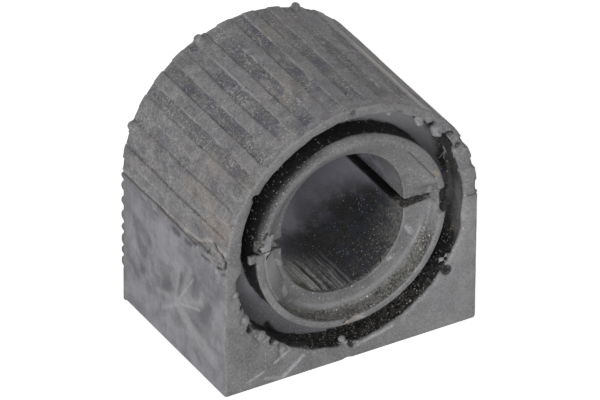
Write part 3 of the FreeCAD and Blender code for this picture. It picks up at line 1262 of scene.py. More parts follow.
    def _sand(self, surface: Surface, grit: Socket) -> tuple[Socket, Socket]:
        """The collar's inside, with grey dirt and pale grains below the split.

        Args:
            surface: the material's surface.
            grit: its close grain.

        Returns:
            Its share and its colour.
        """
        form = self.effects.form
        inside_collar = surface.rise("rest_radius", form.sleeve_edge + 0.4, form.sleeve_edge + 0.2)
        by_wall = surface.rise("rest_radius", form.sleeve_edge - 0.5, form.sleeve_edge - 0.2)
        above_face = surface.rise("rest_depth", form.sleeve_depth + 0.1, form.sleeve_depth - 0.1)
        from_rim = surface.rise("rest_depth", 0.2, 0.5)
        below = surface.both(surface.rise("angle", -10.0, -26.0), surface.rise("angle", -162.0, -140.0))
        sand = surface.blend(grit, self.sand_low, self.sand_high)
        sand = surface.lay(sand, self.sand_patch, surface.clouds(2.2, 0.42, 0.62, detail=5.0), 0.3)
        fine = surface.both(surface.dust(0.34, 0.5, 0.33), 0.6)
        grains = surface.math("MAXIMUM", surface.dust(0.62, 0.5, 0.28), fine)
        sand = surface.lay(sand, self.sand_grain, grains)
        return surface.both(inside_collar, by_wall, above_face, from_rim, below), sand


@dataclass(frozen=True)
class BoreSkin(Rubber):
    """Inside the bore, the split and the hinge: painted shade near black, dusty in front, and painted light
    in violet grey far in.
    """

    # painted shade: the near black and blue black stand for the shade inside the bore; the violet grey and
    # the two pale colours below are painted light
    deep: Colour = paint(21, 22, 22)
    blue_shade: Colour = paint(25, 27, 39)
    far: Colour = paint(127, 126, 135)
    pale: Colour = paint(188, 187, 194)
    low_left_light: Colour = paint(196, 195, 192)
    dusty: Colour = paint(100, 99, 98)
    olive: Colour = paint(92, 88, 68)
    black: Colour = paint(9, 9, 10)
    mouth_low: Colour = paint(40, 39, 38)
    mouth_high: Colour = paint(108, 106, 103)
    far_middle: float = -60.0
    far_spread: float = 16.9

    def build(self) -> bpy.types.Material:
        """Make the material.

        Returns:
            The material.
        """
        material, surface = self.start()
        inward = surface.math("ADD", surface.at["along"], self.effects.form.half_depth)
        grit = surface.clouds(0.45, 0.3, 0.7, detail=3.0)
        cloud = surface.clouds(2.6, 0.4, 0.62, stretch=2.0, detail=5.0)
        uneven = surface.math("MULTIPLY_ADD", cloud, 2.0, surface.math("SUBTRACT", inward, 1.0))
        # painted shade: the bore's patchy near black
        base = surface.blend(cloud, self.deep, self.blue_shade)
        base = surface.lay(base, self.dusty, grit, 0.12)
        base = self._far_in(surface, base, cloud, uneven)
        base = self._in_front(surface, base, grit, uneven)
        base = self._bottom(surface, base, grit, uneven)
        fine = surface.dust(0.4, surface.step(inward, 28.0, 1.0, 0.2, 0.7), 0.3)
        base = surface.lay(base, self.grit, fine, 0.6)
        self.finish(surface, self._split(surface, base, grit, inward), surface.relief(0.04, 0.06))
        return material

    def _far_in(self, surface: Surface, base: Socket, cloud: Socket, uneven: Socket) -> Socket:
        """Lay painted light: the violet grey that the light reaches far in, and above the split.

        Args:
            surface: the material's surface.
            base: the colour under it.
            cloud: the bore's slow patches.
            uneven: the distance behind the front end, made uneven.

        Returns:
            The colour with it.
        """
        turned = surface.math("SUBTRACT", surface.at["angle"], self.far_middle)
        turned = surface.math("DIVIDE", turned, self.far_spread)
        beyond = surface.math("MULTIPLY_ADD", turned, turned, uneven)
        lit, below = surface.step(beyond, 18.0, 28.5), surface.rise("angle", 1.0, -5.0)
        base = surface.lay(base, self.far, lit, below)
        low, deep = surface.rise("angle", -60.0, -86.0), surface.step(uneven, 19.0, 27.0)
        # painted light, pale, deep in along the bottom
        base = surface.lay(base, self.pale, deep, low, 0.9)
        patchy = surface.math("MULTIPLY_ADD", cloud, 0.3, 0.35)
        return surface.lay(base, self.far, surface.rise("angle", 2.0, 12.0), patchy)

    def _in_front(self, surface: Surface, base: Socket, grit: Socket, uneven: Socket) -> Socket:
        """Lay the dust behind the mouth and painted light, pale, low on the left.

        Args:
            surface: the material's surface.
            base: the colour under it.
            grit: the bore's close grain.
            uneven: the distance behind the front end, made uneven.

        Returns:
            The colour with it.
        """
        angle = surface.at["angle"]
        right = surface.step(angle, -62.0, -8.0, 0.12, 0.92)
        left = surface.step(angle, -75.0, -100.0, 0.0, 0.3)
        by_side = surface.math("ADD", right, left)
        grainy = surface.math("MULTIPLY_ADD", grit, 0.9, 0.55)
        base = surface.lay(base, self.dusty, surface.step(uneven, 12.0, 1.5), by_side, grainy)
        low_left_lit = surface.both(surface.rise("angle", -80.0, -110.0), surface.step(uneven, 18.5, 8.5))
        broken = surface.math("MULTIPLY_ADD", grit, 0.6, 0.5)
        return surface.lay(base, self.low_left_light, surface.math("MULTIPLY", low_left_lit, broken, clamp=True))

    def _bottom(self, surface: Surface, base: Socket, grit: Socket, uneven: Socket) -> Socket:
        """Lay the scrapes along the bottom and the olive dirt at its front.

        Args:
            surface: the material's surface.
            base: the colour under them.
            grit: the bore's close grain.
            uneven: the distance behind the front end, made uneven.

        Returns:
            The colour with them.
        """
        bottom = surface.both(surface.zone("angle", -150.0, -82.0, 9.0), surface.step(uneven, 17.0, 8.0))
        scrapes = ((0.5, self.rub, 0.7), (0.8, self.deep, 0.85), (0.3, self.deep, 0.6))
        for width, colour, strength in scrapes:
            scrape = surface.scratches((1.0, 60.0, 1.0), width, 0.95)
            base = surface.lay(base, colour, scrape, bottom, strength)
        dirt = surface.both(surface.zone("angle", -146.0, -114.0, 5.0), surface.step(uneven, 7.5, 4.5))
        return surface.lay(base, surface.blend(grit, self.deep, self.olive), dirt, 0.9)

    def _split(self, surface: Surface, base: Socket, grit: Socket, inward: Socket) -> Socket:
        """Lay painted shade, black, deep in the split, and the dirt in its mouth.

        Args:
            surface: the material's surface.
            base: the colour under them.
            grit: the bore's close grain.
            inward: the distance behind the front end.

        Returns:
            The colour with them.
        """
        upper, lower = surface.rise("height", 25.1, 24.85), surface.rise("height", 22.4, 23.1)
        slit = surface.both(upper, lower, surface.rise("across", 9.0, 9.6))
        # painted shade: the slit is black for the shade inside it
        base = surface.lay(base, self.black, slit, surface.step(inward, 3.8, 8.0))
        mouth = surface.blend(grit, self.mouth_low, self.mouth_high)
        return surface.lay(base, mouth, slit, surface.step(inward, 8.0, 3.8))


# Lumps: direction, distance from the axis, depth, radius and length
LUMPS = (
    Lump(53.2, 20.9, 0.85, 0.9),
    Lump(40.6, 21.0, 0.95, 1.1, 1.1),
    Lump(31.2, 22.2, 0.6, 0.65),
    Lump(24.2, 21.4, 0.8, 0.8),
    Lump(21.8, 21.2, 0.9, 0.4),
    Lump(13.2, 21.6, 0.8, 0.6),
    Lump(-33.0, 20.4, 0.9, 0.5),
    Lump(-30.6, 20.8, 0.8, 0.4),
    Lump(-93.6, 20.4, 0.7, 0.55, 1.4),
    Lump(-92.0, 21.2, 0.5, 0.45),
    Lump(-151.7, 21.9, 0.45, 0.75),
    Lump(-138.7, 21.85, 0.45, 0.75),
    Lump(-141.5, 22.3, 0.4, 0.45),
    Lump(-124.3, 22.2, 0.4, 0.65),
    Lump(-166.3, 21.7, 0.45, 0.65),
    Lump(70.0, 21.3, 0.9, 0.7),
    Lump(172.4, 15.6, 1.1, 0.8),
    Lump(169.3, 15.5, 1.1, 0.8),
    Lump(174.3, 15.45, 1.3, 0.85),
    Lump(172.8, 16.25, 0.75, 0.45),
    Lump(166.3, 15.4, 1.2, 0.8),
    Lump(-86.5, 16.6, 0.5, 0.65),
    Lump(-93.0, 16.9, 0.5, 0.5),
)
# Dents in the same form, with how far each goes back and out and how strongly painted shade blackens it
BITES = (
    Bite(-146.4, 22.1, 0.2, 1.05, back=1.0, out=0.4, black=1.0),
    Bite(-144.4, 21.1, 0.3, 0.9, back=0.8, out=0.2, black=1.0),
    Bite(-158.8, 21.5, 0.3, 0.6, back=0.6, out=0.3, black=1.0),
    Bite(-155.0, 21.2, 0.3, 0.5, back=0.5, out=0.3, black=1.0),
    Bite(-132.0, 21.5, 0.3, 0.9, back=0.8, out=0.3, black=1.0),
    Bite(-127.6, 21.7, 0.3, 0.5, back=0.5, out=0.2, black=0.8),
    Bite(-89.4, 21.4, 0.3, 0.9, back=0.7, out=0.3, black=0.9),
    Bite(-36.5, 21.9, 0.3, 1.25, back=0.7, out=0.5, black=1.0),
    Bite(35.6, 21.9, 0.3, 0.9, back=0.9, out=0.4, black=0.9),
    Bite(27.6, 21.9, 0.3, 0.8, back=0.6, out=0.2, black=0.8),
    Bite(46.6, 21.2, 0.4, 1.1, back=0.9, out=0.3, black=0.9),
    Bite(145.6, 21.5, 0.2, 0.8, back=0.5, out=0.3, black=1.0),
    Bite(90.1, 22.5, 0.0, 0.7, back=0.3, out=0.2, black=0.5),
    Bite(66.1, 21.4, 0.4, 1.0, back=0.5, out=0.1, black=0.3),
    Bite(-91.5, 23.9, 0.0, 1.0, back=0.1, out=-0.12),
)
# Marks on the left flank: the torn crack along the foot of the ribs, its flap, smudges and scuffs. The
# last one is the closed cut's line on the right flank.
FLANK_STROKES = (
    on_flank(Mark.CRACK, -23.25, (16.8, 24.15), (5.0, 24.2), 0.3, 0.7, 0.2),
    on_flank(Mark.CRACK, -23.25, (5.0, 24.2), (-2.5, 24.0), 0.34, 0.8, 0.25),
    on_flank(Mark.CRACK, -23.25, (-2.5, 24.0), (-7.6, 23.9), 0.3, 0.6, 0.2),
    on_flank(Mark.RUB, -23.2, (16.8, 24.7), (2.0, 24.7), 0.4, 0.5, -0.1),
    on_flank(Mark.SCUFF, -23.2, (2.0, 24.7), (-4.0, 24.75), 0.45, 0.6, -0.1),
    on_flank(Mark.SCUFF, -23.2, (-3.7, 24.7), (-8.8, 25.3), 0.55, 0.7, -0.1),
    on_flank(Mark.SCUFF, -23.2, (-8.8, 25.3), (-11.6, 27.2), 0.5, 0.7, -0.1),
    on_flank(Mark.SCUFF, -23.2, (-11.6, 27.2), (-12.3, 27.1), 0.45, 0.6),
    on_flank(Mark.SHADE, -23.2, (-4.1, 22.9), (-5.3, 22.9), 0.8, 0.8, 0.08),
    on_flank(Mark.CRACK, -23.2, (-5.3, 23.0), (-5.9, 23.0), 0.45, 0.6, 0.1),
    on_flank(Mark.SHADE, -23.2, (-6.5, 23.7), (-10.1, 25.8), 0.35, 0.7, 0.1),
    on_flank(Mark.RUB, -23.2, (-7.6, 23.6), (-8.0, 23.7), 0.3, 0.7),
    on_flank(Mark.SHADE, -23.2, (-9.3, 23.1), (-11.7, 23.3), 0.55, 0.9, 0.1),
    on_flank(Mark.CRACK, -23.2, (-10.8, 24.4), (-11.3, 25.2), 0.35, 0.6, 0.1),
    on_flank(Mark.SHADE, -23.2, (-11.2, 24.5), (-13.8, 24.9), 0.25, 0.8),
    on_flank(Mark.SCUFF, -23.2, (-11.4, 24.3), (-14.5, 24.9), 0.35, 0.6),
    on_flank(Mark.SCUFF, -23.2, (-12.0, 25.8), (-14.1, 25.7), 0.45, 0.45),
    on_flank(Mark.CRACK, -23.2, (-12.8, 26.9), (-13.9, 26.6), 0.7, 1.0, 0.3),
    on_flank(Mark.CRACK, -23.2, (-13.9, 26.6), (-15.8, 26.3), 0.5, 1.0, 0.25),
    on_flank(Mark.SHADE, -23.2, (-15.8, 26.3), (-16.4, 25.5), 0.4, 0.9, 0.1),
    on_flank(Mark.SCUFF, -23.2, (-14.1, 27.2), (-16.9, 27.1), 0.6, 0.8, -0.1),
    on_flank(Mark.SCUFF, -23.2, (-16.9, 27.1), (-17.0, 26.3), 0.4, 0.7),
    on_flank(Mark.CRACK, -23.2, (-16.4, 25.6), (-16.4, 24.7), 0.65, 1.0, 0.3),
    on_flank(Mark.CRACK, -23.2, (-14.5, 23.3), (-15.7, 23.5), 0.9, 1.0, 0.3),
    on_flank(Mark.SHADE, -23.2, (-16.0, 23.8), (-16.9, 23.2), 0.55, 0.8, 0.05),
    on_flank(Mark.RUB, -23.2, (-14.3, 22.6), (-14.4, 21.1), 0.7, 0.35),
    on_flank(Mark.STAIN, -23.0, (-10.5, 29.5), (-16.5, 30.5), 2.6, 0.28),
    on_flank(Mark.STAIN, -23.0, (-2.0, 31.8), (-10.0, 32.6), 2.2, 0.18),
    on_flank(Mark.RUB, -23.2, (-13.8, 22.6), (-16.0, 23.6), 0.5, 0.5, -0.05),
    on_flank(Mark.SHADE, -23.25, (9.9, 22.8), (8.9, 22.7), 0.5, 0.6, 0.05),
    on_flank(Mark.SHADE, -23.25, (6.3, 22.5), (4.8, 22.5), 0.5, 0.6, 0.06),
    on_flank(Mark.SHADE, -23.25, (-0.4, 22.8), (-1.8, 22.8), 0.95, 1.0, 0.12),
    on_flank(Mark.SHADE, -23.25, (12.0, 17.5), (9.2, 10.2), 1.5, 0.65),
    on_flank(Mark.SHADE, -23.25, (8.8, 13.9), (9.9, 9.0), 1.1, 0.75),
    on_flank(Mark.SHADE, -23.25, (11.2, 17.6), (7.6, 16.0), 1.6, 0.65),
    on_flank(Mark.SHADE, -23.25, (13.2, 8.9), (11.2, 7.3), 1.1, 0.5),
    on_flank(Mark.SHADE, -23.25, (-3.0, 15.3), (-2.0, 11.2), 1.2, 0.75),
    on_flank(Mark.SHADE, -23.25, (-3.8, 8.8), (-8.1, 8.2), 1.3, 0.65),
    on_flank(Mark.SHADE, -23.25, (-7.0, 3.8), (-8.9, 2.4), 0.7, 0.4),
    on_flank(Mark.SHADE, -23.25, (-7.5, 17.5), (-7.0, 14.0), 2.0, 0.65),
    on_flank(Mark.SHADE, -23.25, (-11.5, 14.5), (-9.5, 11.5), 1.8, 0.65),
    on_flank(Mark.SHADE, -23.25, (1.5, 11.8), (3.5, 8.0), 1.6, 0.65),
    on_flank(Mark.RUB, -23.25, (-1.7, 10.1), (-5.6, 17.7), 1.0, 0.35),
    on_flank(Mark.RUB, -23.25, (-2.0, 10.5), (-6.6, 16.9), 0.4, 0.5),
    on_flank(Mark.RUB, -23.25, (-1.0, 10.4), (-2.2, 16.6), 0.6, 0.3),
    on_flank(Mark.RUB, -23.25, (-1.7, 10.1), (5.0, 8.2), 0.8, 0.4),
    on_flank(Mark.RUB, -23.25, (-1.2, 9.0), (3.4, 5.6), 0.6, 0.35),
    on_flank(Mark.RUB, -23.25, (-2.2, 10.4), (-9.4, 14.0), 1.0, 0.4),
    on_flank(Mark.RUB, -23.25, (-2.6, 9.9), (-8.6, 12.2), 0.4, 0.55),
    on_flank(Mark.RUB, -23.25, (-1.5, 9.6), (-6.2, 7.0), 2.0, 0.6),
    on_flank(Mark.RUB, -23.25, (-6.0, 7.0), (-12.5, 5.5), 2.2, 0.45),
    on_flank(Mark.RUB, -23.25, (-12.5, 9.0), (-15.8, 17.0), 1.6, 0.25),
    on_flank(Mark.RUB, -23.25, (12.5, 12.5), (6.0, 9.5), 0.8, 0.25),
    on_flank(Mark.CRACK, 23.25, (-16.8, 24.0), (16.8, 24.0), 0.22, 0.7, 0.15),
)
# Marks on the front end: the closed cut, scuffs low on the face and on the sleeve, the hinge's cracks,
# stains, and a forked thread in the ring groove
FACE_STROKES = (
    on_end(Mark.CRACK, -16.8, (21.4, 24.0), (23.25, 24.0), 0.18, 0.7, 0.12),
    on_end(Mark.RUB, -16.8, (-14.2, 3.9), (-12.0, 5.0), 0.35, 0.6),
    on_end(Mark.RUB, -16.8, (-12.4, 0.9), (-9.0, 3.4), 0.6, 0.7),
    on_end(Mark.RUB, -16.8, (-18.8, 1.8), (-16.2, 2.8), 0.35, 0.6),
    on_end(Mark.RUB, -16.8, (-15.8, 1.5), (-12.8, 0.5), 0.5, 0.35),
    on_end(Mark.RUB, -16.8, (-9.6, 5.4), (-7.3, 4.2), 0.6, 0.4),
    on_end(Mark.RUB, -16.8, (1.2, 2.1), (7.6, 3.6), 0.35, 0.5),
    on_end(Mark.RUB, -13.65, (11.9, 19.5), (12.7, 18.2), 0.8, 0.8),
    on_end(Mark.RUB, -13.65, (8.6, 14.3), (9.3, 14.8), 0.6, 0.8),
    on_end(Mark.RUB, -13.65, (-11.4, 15.9), (-10.7, 14.3), 0.9, 0.7),
    on_end(Mark.RUB, -13.65, (-12.4, 21.0), (-11.6, 20.2), 0.6, 0.6),
    on_end(Mark.CRACK, -16.6, (10.3, 35.8), (12.6, 32.8), 0.22, 0.5, 0.1),
    on_end(Mark.CRACK, -16.6, (12.6, 32.8), (15.0, 29.6), 0.26, 0.5, 0.12),
    on_end(Mark.STAIN, -16.6, (15.1, 30.7), (15.7, 30.0), 0.55, 0.8),
    on_end(Mark.CRACK, -16.4, (-15.6, 28.95), (-16.1, 27.9), 0.32, 0.9, 0.3),
    Stroke(Mark.CRACK, Side.FACE, (-17.2, -16.4, 25.4), (-14.6, -16.0, 25.3), 0.22, 0.9, 0.3),
    on_end(Mark.CRACK, -11.1, (-12.4, 7.4), (-11.2, 5.4), 0.9, 1.0),
    on_end(Mark.CRACK, -16.8, (-1.6, 7.3), (0.9, 8.2), 0.25, 0.7, 0.12),
    on_end(Mark.STAIN, -16.8, (-1.2, 6.9), (1.2, 7.8), 0.4, 0.5),
    on_end(Mark.RUB, -16.8, (1.2, 7.6), (2.4, 7.1), 0.4, 0.6),
    on_end(Mark.RUB, -13.65, (14.4, 18.6), (12.9, 15.8), 0.3, 0.7),
    on_end(Mark.RUB, -11.1, (19.85, 30.95), (20.35, 29.75), 0.13, 1.0),
    on_end(Mark.RUB, -11.1, (20.35, 29.75), (19.3, 28.75), 0.13, 1.0),
    on_end(Mark.RUB, -11.1, (20.35, 29.7), (20.05, 28.7), 0.13, 1.0),
    on_end(Mark.RUB, -11.1, (20.05, 28.7), (20.25, 28.15), 0.13, 1.0),
)
# Teeth of flash up the back left edge: height and half width
FLASH_TEETH = (
    (21.6, 0.8), (18.8, 0.75), (16.0, 0.9), (13.7, 0.6),
    (11.4, 1.0), (9.3, 0.7), (7.2, 0.9), (23.6, 0.6),
)


@dataclass
class Block:
    """The moulded rubber block, worked up in detail over the frame's own solid."""

    form: Form
    effects: Effects
    noise: LatticeNoise
    ribs: Ribs = field(default_factory=Ribs)
    voxel: float = 0.22
    triangles: int = 190_000
    weld: float = 0.002
    filler_width: float = 0.5
    filler_root: float = 0.6
    filler_skin: float = 0.1
    filler_short: float = 0.2
    wall_gap: float = 0.06
    wall_short: float = 0.12
    end_depth: float = 6.2
    end_radius: float = 21.9
    rim_depth: float = 0.25
    bore_depth: float = 4.0
    bore_radius: float = 17.3
    corner_reach: float = 1.3
    corner_top: float = 24.5
    lumps: tuple[Lump, ...] = LUMPS
    bites: tuple[Bite, ...] = BITES
    strokes: tuple[Stroke, ...] = FLANK_STROKES + FACE_STROKES

    def build(self) -> bpy.types.Object:
        """Make the piece: join the extras, remesh, work the surface, thin it and dress it.

        Returns:
            The finished object.
        """
        mesh = self._joined()
        piece = bpy.data.objects.new("bushing_rubber", mesh)
        bpy.context.scene.collection.objects.link(piece)
        self._apply(piece, "REMESH", mode="VOXEL", voxel_size=self.voxel * MM)
        log.info("remeshed to %d faces", len(piece.data.polygons))
        self._work(piece.data)
        triangles = 2 * len(piece.data.polygons)
        self._apply(piece, "DECIMATE", ratio=self.triangles / triangles)
        log.info("thinned to %d triangles", len(piece.data.polygons))
        self._dress(piece.data)
        return piece

    def _joined(self) -> bpy.types.Mesh:
        """Join the frame's solid, the rubber that shuts the closed cut, and the small lumps.

        Returns:
            The one mesh.
        """
        form = self.form
        shell = bmesh.new()
        shell.from_mesh(frame["nodes"]["bushing"].data)
        bmesh.ops.remove_doubles(shell, verts=shell.verts, dist=self.weld * MM)
        length = 2 * form.half_depth
        between = length - 2 * form.ring_depth - self.filler_short
        self._fill(shell, form.ring_inner - self.filler_root, between)
        self._fill(shell, form.ring_outer + self.wall_gap, length - self.wall_short)
        for lump in self.lumps:
            self._add_lump(shell, lump)
        mesh = bpy.data.meshes.new("bushing_rubber")
        shell.to_mesh(mesh)
        shell.free()
        return mesh

    def _fill(self, shell: bmesh.types.BMesh, inner: float, length: float) -> None:
        """Shut a stretch of the closed cut, from a distance right of the axis out to the flank.

        Args:
            shell: the rubber.
            inner: where the stretch starts.
            length: its length along the bar.
        """
        outer = self.form.half_width - self.filler_skin
        size = Vector((outer - inner, length, self.filler_width))
        middle = Vector(((inner + outer) / 2, 0, self.form.axis_height))
        filler = bmesh.ops.create_cube(shell, size=1.0)["verts"]
        bmesh.ops.scale(shell, vec=size * MM, verts=filler)
        bmesh.ops.translate(shell, vec=middle * MM, verts=filler)

    def _add_lump(self, shell: bmesh.types.BMesh, lump: Lump) -> None:
        """Set one lump into the rubber.

        Args:
            shell: the rubber.
            lump: the lump.
        """
        ball = bmesh.ops.create_icosphere(shell, subdivisions=3, radius=lump.size * MM)["verts"]
        bmesh.ops.scale(shell, vec=(1.0, lump.length, 1.0), verts=ball)
        bmesh.ops.translate(shell, vec=lump.centre(self.form) * MM, verts=ball)

    @staticmethod
    def _apply(piece: bpy.types.Object, kind: str, **settings: object) -> None:
        """Add a modifier and put its result into the mesh.

        Args:
            piece: the object.
            kind: the modifier's type.
            settings: its properties.
        """
        modifier = piece.modifiers.new(kind.lower(), kind)
        for name, value in settings.items():
            setattr(modifier, name, value)
        graph = bpy.context.evaluated_depsgraph_get()
        made = bpy.data.meshes.new_from_object(piece.evaluated_get(graph))
        piece.modifiers.clear()
        old = piece.data
        piece.data = made
        bpy.data.meshes.remove(old)

    def _work(self, mesh: bpy.types.Mesh) -> None:
        """Work the surface: ribs, lumps, rounded edges and every drawn mark.

        Args:
            mesh: the block's mesh.
        """
        skin = Skin(mesh, self.form)
        fields = self.ribs.fields(skin, self.noise)
        self._store(skin, fields)
        shares = [(stroke, stroke.share(skin.points)) for stroke in self.strokes if stroke.depth]
        self._shape_ribs(skin, fields)
        self._soften(skin)
        self._round_collar(skin)
        self._close_recess(skin)
        self._round_groove_edge(skin)
        self._tooth_corner(skin)
        for bite in self.bites:
            bite.apply(skin)
        for stroke, share in shares:
            skin.push(-stroke.depth * share)
        skin.write()

    def _store(self, skin: Skin, fields: dict[str, Array]) -> None:
        """Store at each point what STORED names, before the surface is worked.

        Args:
            skin: the block's surface.
            fields: how the ribs lie over it.
        """
        back = smooth(skin.radius, self.form.half_width - 0.8, self.form.half_width - 0.6)
        faded = 0.22 + 0.78 * smooth(skin.angle, 166.0, 132.0)
        count = len(skin.points)
        bare, torn = np.zeros(count), np.zeros(count)
        for lump in self.lumps:
            bare = np.maximum(bare, smooth(lump.gap(skin), lump.size * 1.2, lump.size))
        # the share of painted shade in each dent
        for bite in self.bites:
            inside = smooth(bite.gap(skin), bite.size * 0.95, bite.size * 0.55)
            torn = np.maximum(torn, bite.black * inside)
        wide = {Mark.SHADE: np.zeros(count), Mark.RUB: np.zeros(count)}
        for stroke in (stroke for stroke in self.strokes if stroke.is_wide):
            drawn = stroke.strength * stroke.share(skin.points)
            wide[stroke.kind] = np.maximum(wide[stroke.kind], drawn)
        # dark and light hold the ribs' painted shade and painted highlight
        stored = (
            fields["groove"] * back * faded, fields["line"] * back, fields["lip"] * back, bare,
            torn * (1 - bare), skin.depth, skin.radius, wide[Mark.SHADE], wide[Mark.RUB],
        )
        for label, values in zip(STORED, stored):
            attribute = skin.mesh.attributes.new(label, "FLOAT", "POINT")
            attribute.data.foreach_set("value", values.astype(np.float32))

    def _on_back(self, skin: Skin) -> Array:
        """Choose the points on the round back, apart from the pips on its rim.

        Args:
            skin: the block's surface.

        Returns:
            A yes or no for each point.
        """
        low, high = self.form.half_width - 0.75, self.form.half_width + 0.12
        return (skin.rise > 0) & (skin.radius > low) & (skin.radius < high) & (skin.depth > 0.03)

    def _shape_ribs(self, skin: Skin, fields: dict[str, Array]) -> None:
        """Give the round back its ribs: uneven grooves with a light lip above and a dark line below each.

        Args:
            skin: the block's surface.
            fields: how the ribs lie over it.
        """
        ribs = self.ribs
        chosen = self._on_back(skin)
        own = ribs.number(skin)
        luck = 0.75 + 0.35 * self.noise.at(np.stack([own * 5.3, own, own], axis=1), 1.0)
        luck += 0.7 * smooth(skin.angle, 42.0, 30.0)
        rough = 0.05 * self.noise.layers(skin.points, 1.1, 3, (1, 1.5, 1)) * (0.3 + 0.7 * fields["groove"])
        target = self.form.half_width - ribs.depth * luck * fields["groove"] + rough
        target += 0.04 * self.noise.at(skin.points, 5.0) - 0.06
        target += ribs.lip * fields["lip"] - ribs.crack * fields["line"]
        edge = np.clip(0.5 - skin.depth, 0.0, 0.5)
        target -= 0.5 - np.sqrt(0.25 - edge * edge)
        skin.set_radius(np.minimum(target, self.form.half_width), chosen)

    def _soften(self, skin: Skin) -> None:
        """Take the straightness out of the moulded walls.

        Args:
            skin: the block's surface.
        """
        lumps = 0.06 * self.noise.layers(skin.points, 3.0, 3) + 0.025 * self.noise.at(skin.points, 0.8)
        in_groove = smooth(skin.depth, 0.1, 0.6) * smooth(skin.radius, 21.9, 21.6)
        in_groove *= smooth(skin.radius, 16.9, 17.2)
        free = np.where(self._on_back(skin), 0.0, 1.0)
        inside = smooth(skin.points[:, 2], 0.02, 0.4)
        skin.push(free * inside * (lumps * (0.5 + 0.9 * in_groove) - 0.03))
        on_lump = np.zeros(len(skin.points))
        for lump in self.lumps:
            gap = lump.gap(skin)
            on_lump = np.maximum(on_lump, smooth(gap, lump.size * 1.3, lump.size * 1.05))
            moat = smooth(gap, lump.size * 1.9, lump.size * 1.3)
            moat *= smooth(gap, lump.size * 0.9, lump.size * 1.2)
            near = smooth(skin.from_front, 1.0, 0.3)
            skin.points[:, 1] += 0.3 * moat * near * smooth(skin.radius, 20.5, 21.2)
        skin.push(0.22 * on_lump * self.noise.at(skin.points, 0.75))

    def _round_collar(self, skin: Skin) -> None:
        """Round off the collar's outer edge, which has worn away on the upper left of the front end.

        Args:
            skin: the block's surface.
        """
        worn = smooth(skin.angle, 40.0, 95.0) * smooth(skin.angle, 176.0, 166.0) + 0.18
        over = np.clip((skin.radius - 16.35) / 1.1, 0.0, 1.0)
        near = smooth(skin.radius, 18.0, 17.55) * smooth(skin.from_front, 2.2, 0.2)
        skin.points[:, 1] += worn * over**2 * near

    def _close_recess(self, skin: Skin) -> None:
        """Close most of the gap between the collar and the sleeve's face, apart from the front end's foot.

        Args:
            skin: the block's surface.
        """
        open_share = smooth(skin.angle, 17.0, 6.0) * smooth(skin.angle, -150.0, -132.0)
        within = np.clip((skin.radius - 12.6) / 3.2, 0.0, 1.0) * smooth(skin.radius, 16.8, 16.45)
        sleeve = self.form.sleeve_depth
        share = (1 - open_share) * within * smooth(skin.from_front, sleeve + 1.4, sleeve + 0.4)
        skin.points[:, 1] -= 0.95 * share * skin.from_front

    def _round_groove_edge(self, skin: Skin) -> None:
        """Soften the ring groove's outer edge and make it uneven.

        Args:
            skin: the block's surface.
        """
        along = skin.points * np.array([1.0, 0.0, 1.0])
        uneven = 0.5 + 0.5 * self.noise.layers(along, 2.4, 3)
        right = smooth(np.abs(skin.angle - 6.0), 24.0, 14.0)
        amount = 0.25 + 0.3 * uneven + 0.35 * right
        over = np.clip((22.3 - skin.radius) / 1.2, 0.0, 1.0) * smooth(skin.radius, 20.6, 21.0)
        near = smooth(skin.from_front, 2.0, 0.1)
        skin.points[:, 1] += amount * over**2 * near
        turned = skin.angle % 360
        left = smooth(turned, 148.0, 179.0) * smooth(turned, 187.5, 182.0)
        at_wall = near * smooth(skin.radius, 20.6, 21.0) * smooth(skin.radius, 22.6, 21.6)
        share = 1.0 + (0.03 * (uneven - 0.5) - 0.034 * right - 0.055 * left) * at_wall
        skin.points[:, 0] *= share
        skin.points[:, 2] = self.form.axis_height + skin.rise * share

    def _tooth_corner(self, skin: Skin) -> None:
        """Round the upright edge at the back left, apart from the row of small teeth of flash on it.

        Args:
            skin: the block's surface.
        """
        reach = self.corner_reach
        beside = (skin.points[:, 0] + self.form.half_width) / reach
        behind = (self.form.half_depth - skin.points[:, 1]) / reach
        chosen = (beside < 1.0) & (behind < 1.0) & (skin.points[:, 2] < self.corner_top)
        first, second = 1.0 - beside[chosen], 1.0 - behind[chosen]
        height = skin.points[chosen, 2]
        tooth = np.zeros(len(height))
        for middle, half in FLASH_TEETH:
            tooth = np.maximum(tooth, smooth(np.abs(height - middle), half, half * 0.25))
        power = 2.1 + 9.0 * tooth + 0.5 * (height < 6.0)
        length = (np.abs(first) ** power + np.abs(second) ** power) ** (1.0 / power)
        share = 1.0 / np.maximum(length, 0.05)
        surface = np.maximum(first, second) > 0.55
        rows = np.nonzero(chosen)[0][surface]
        skin.points[rows, 0] = -self.form.half_width + reach * (1.0 - first[surface] * share[surface])
        skin.points[rows, 1] = self.form.half_depth - reach * (1.0 - second[surface] * share[surface])

    def _dress(self, mesh: bpy.types.Mesh) -> None:
        """Give each face its finish by where it lies, and shade the mesh smooth.

        Args:
            mesh: the block's mesh.
        """
        finishes = (
            OuterSkin(self.effects, "rubber_skin", FLANK_STROKES),
            EndFace(self.effects, "rubber_end", FACE_STROKES, specular=0.2),
            BoreSkin(self.effects, "rubber_bore", specular=0.08),
        )
        for finish in finishes:
            mesh.materials.append(finish.build())
        depth, radius = self._face_values(mesh, "rest_depth"), self._face_values(mesh, "rest_radius")
        index = np.zeros(len(mesh.polygons), np.int32)
        within = (depth < self.end_depth) & (radius < self.end_radius)
        index[within | (depth < self.rim_depth)] = 1
        index[(depth > self.bore_depth) & (radius < self.bore_radius)] = 2
        mesh.polygons.foreach_set("material_index", index)
        mesh.shade_smooth()

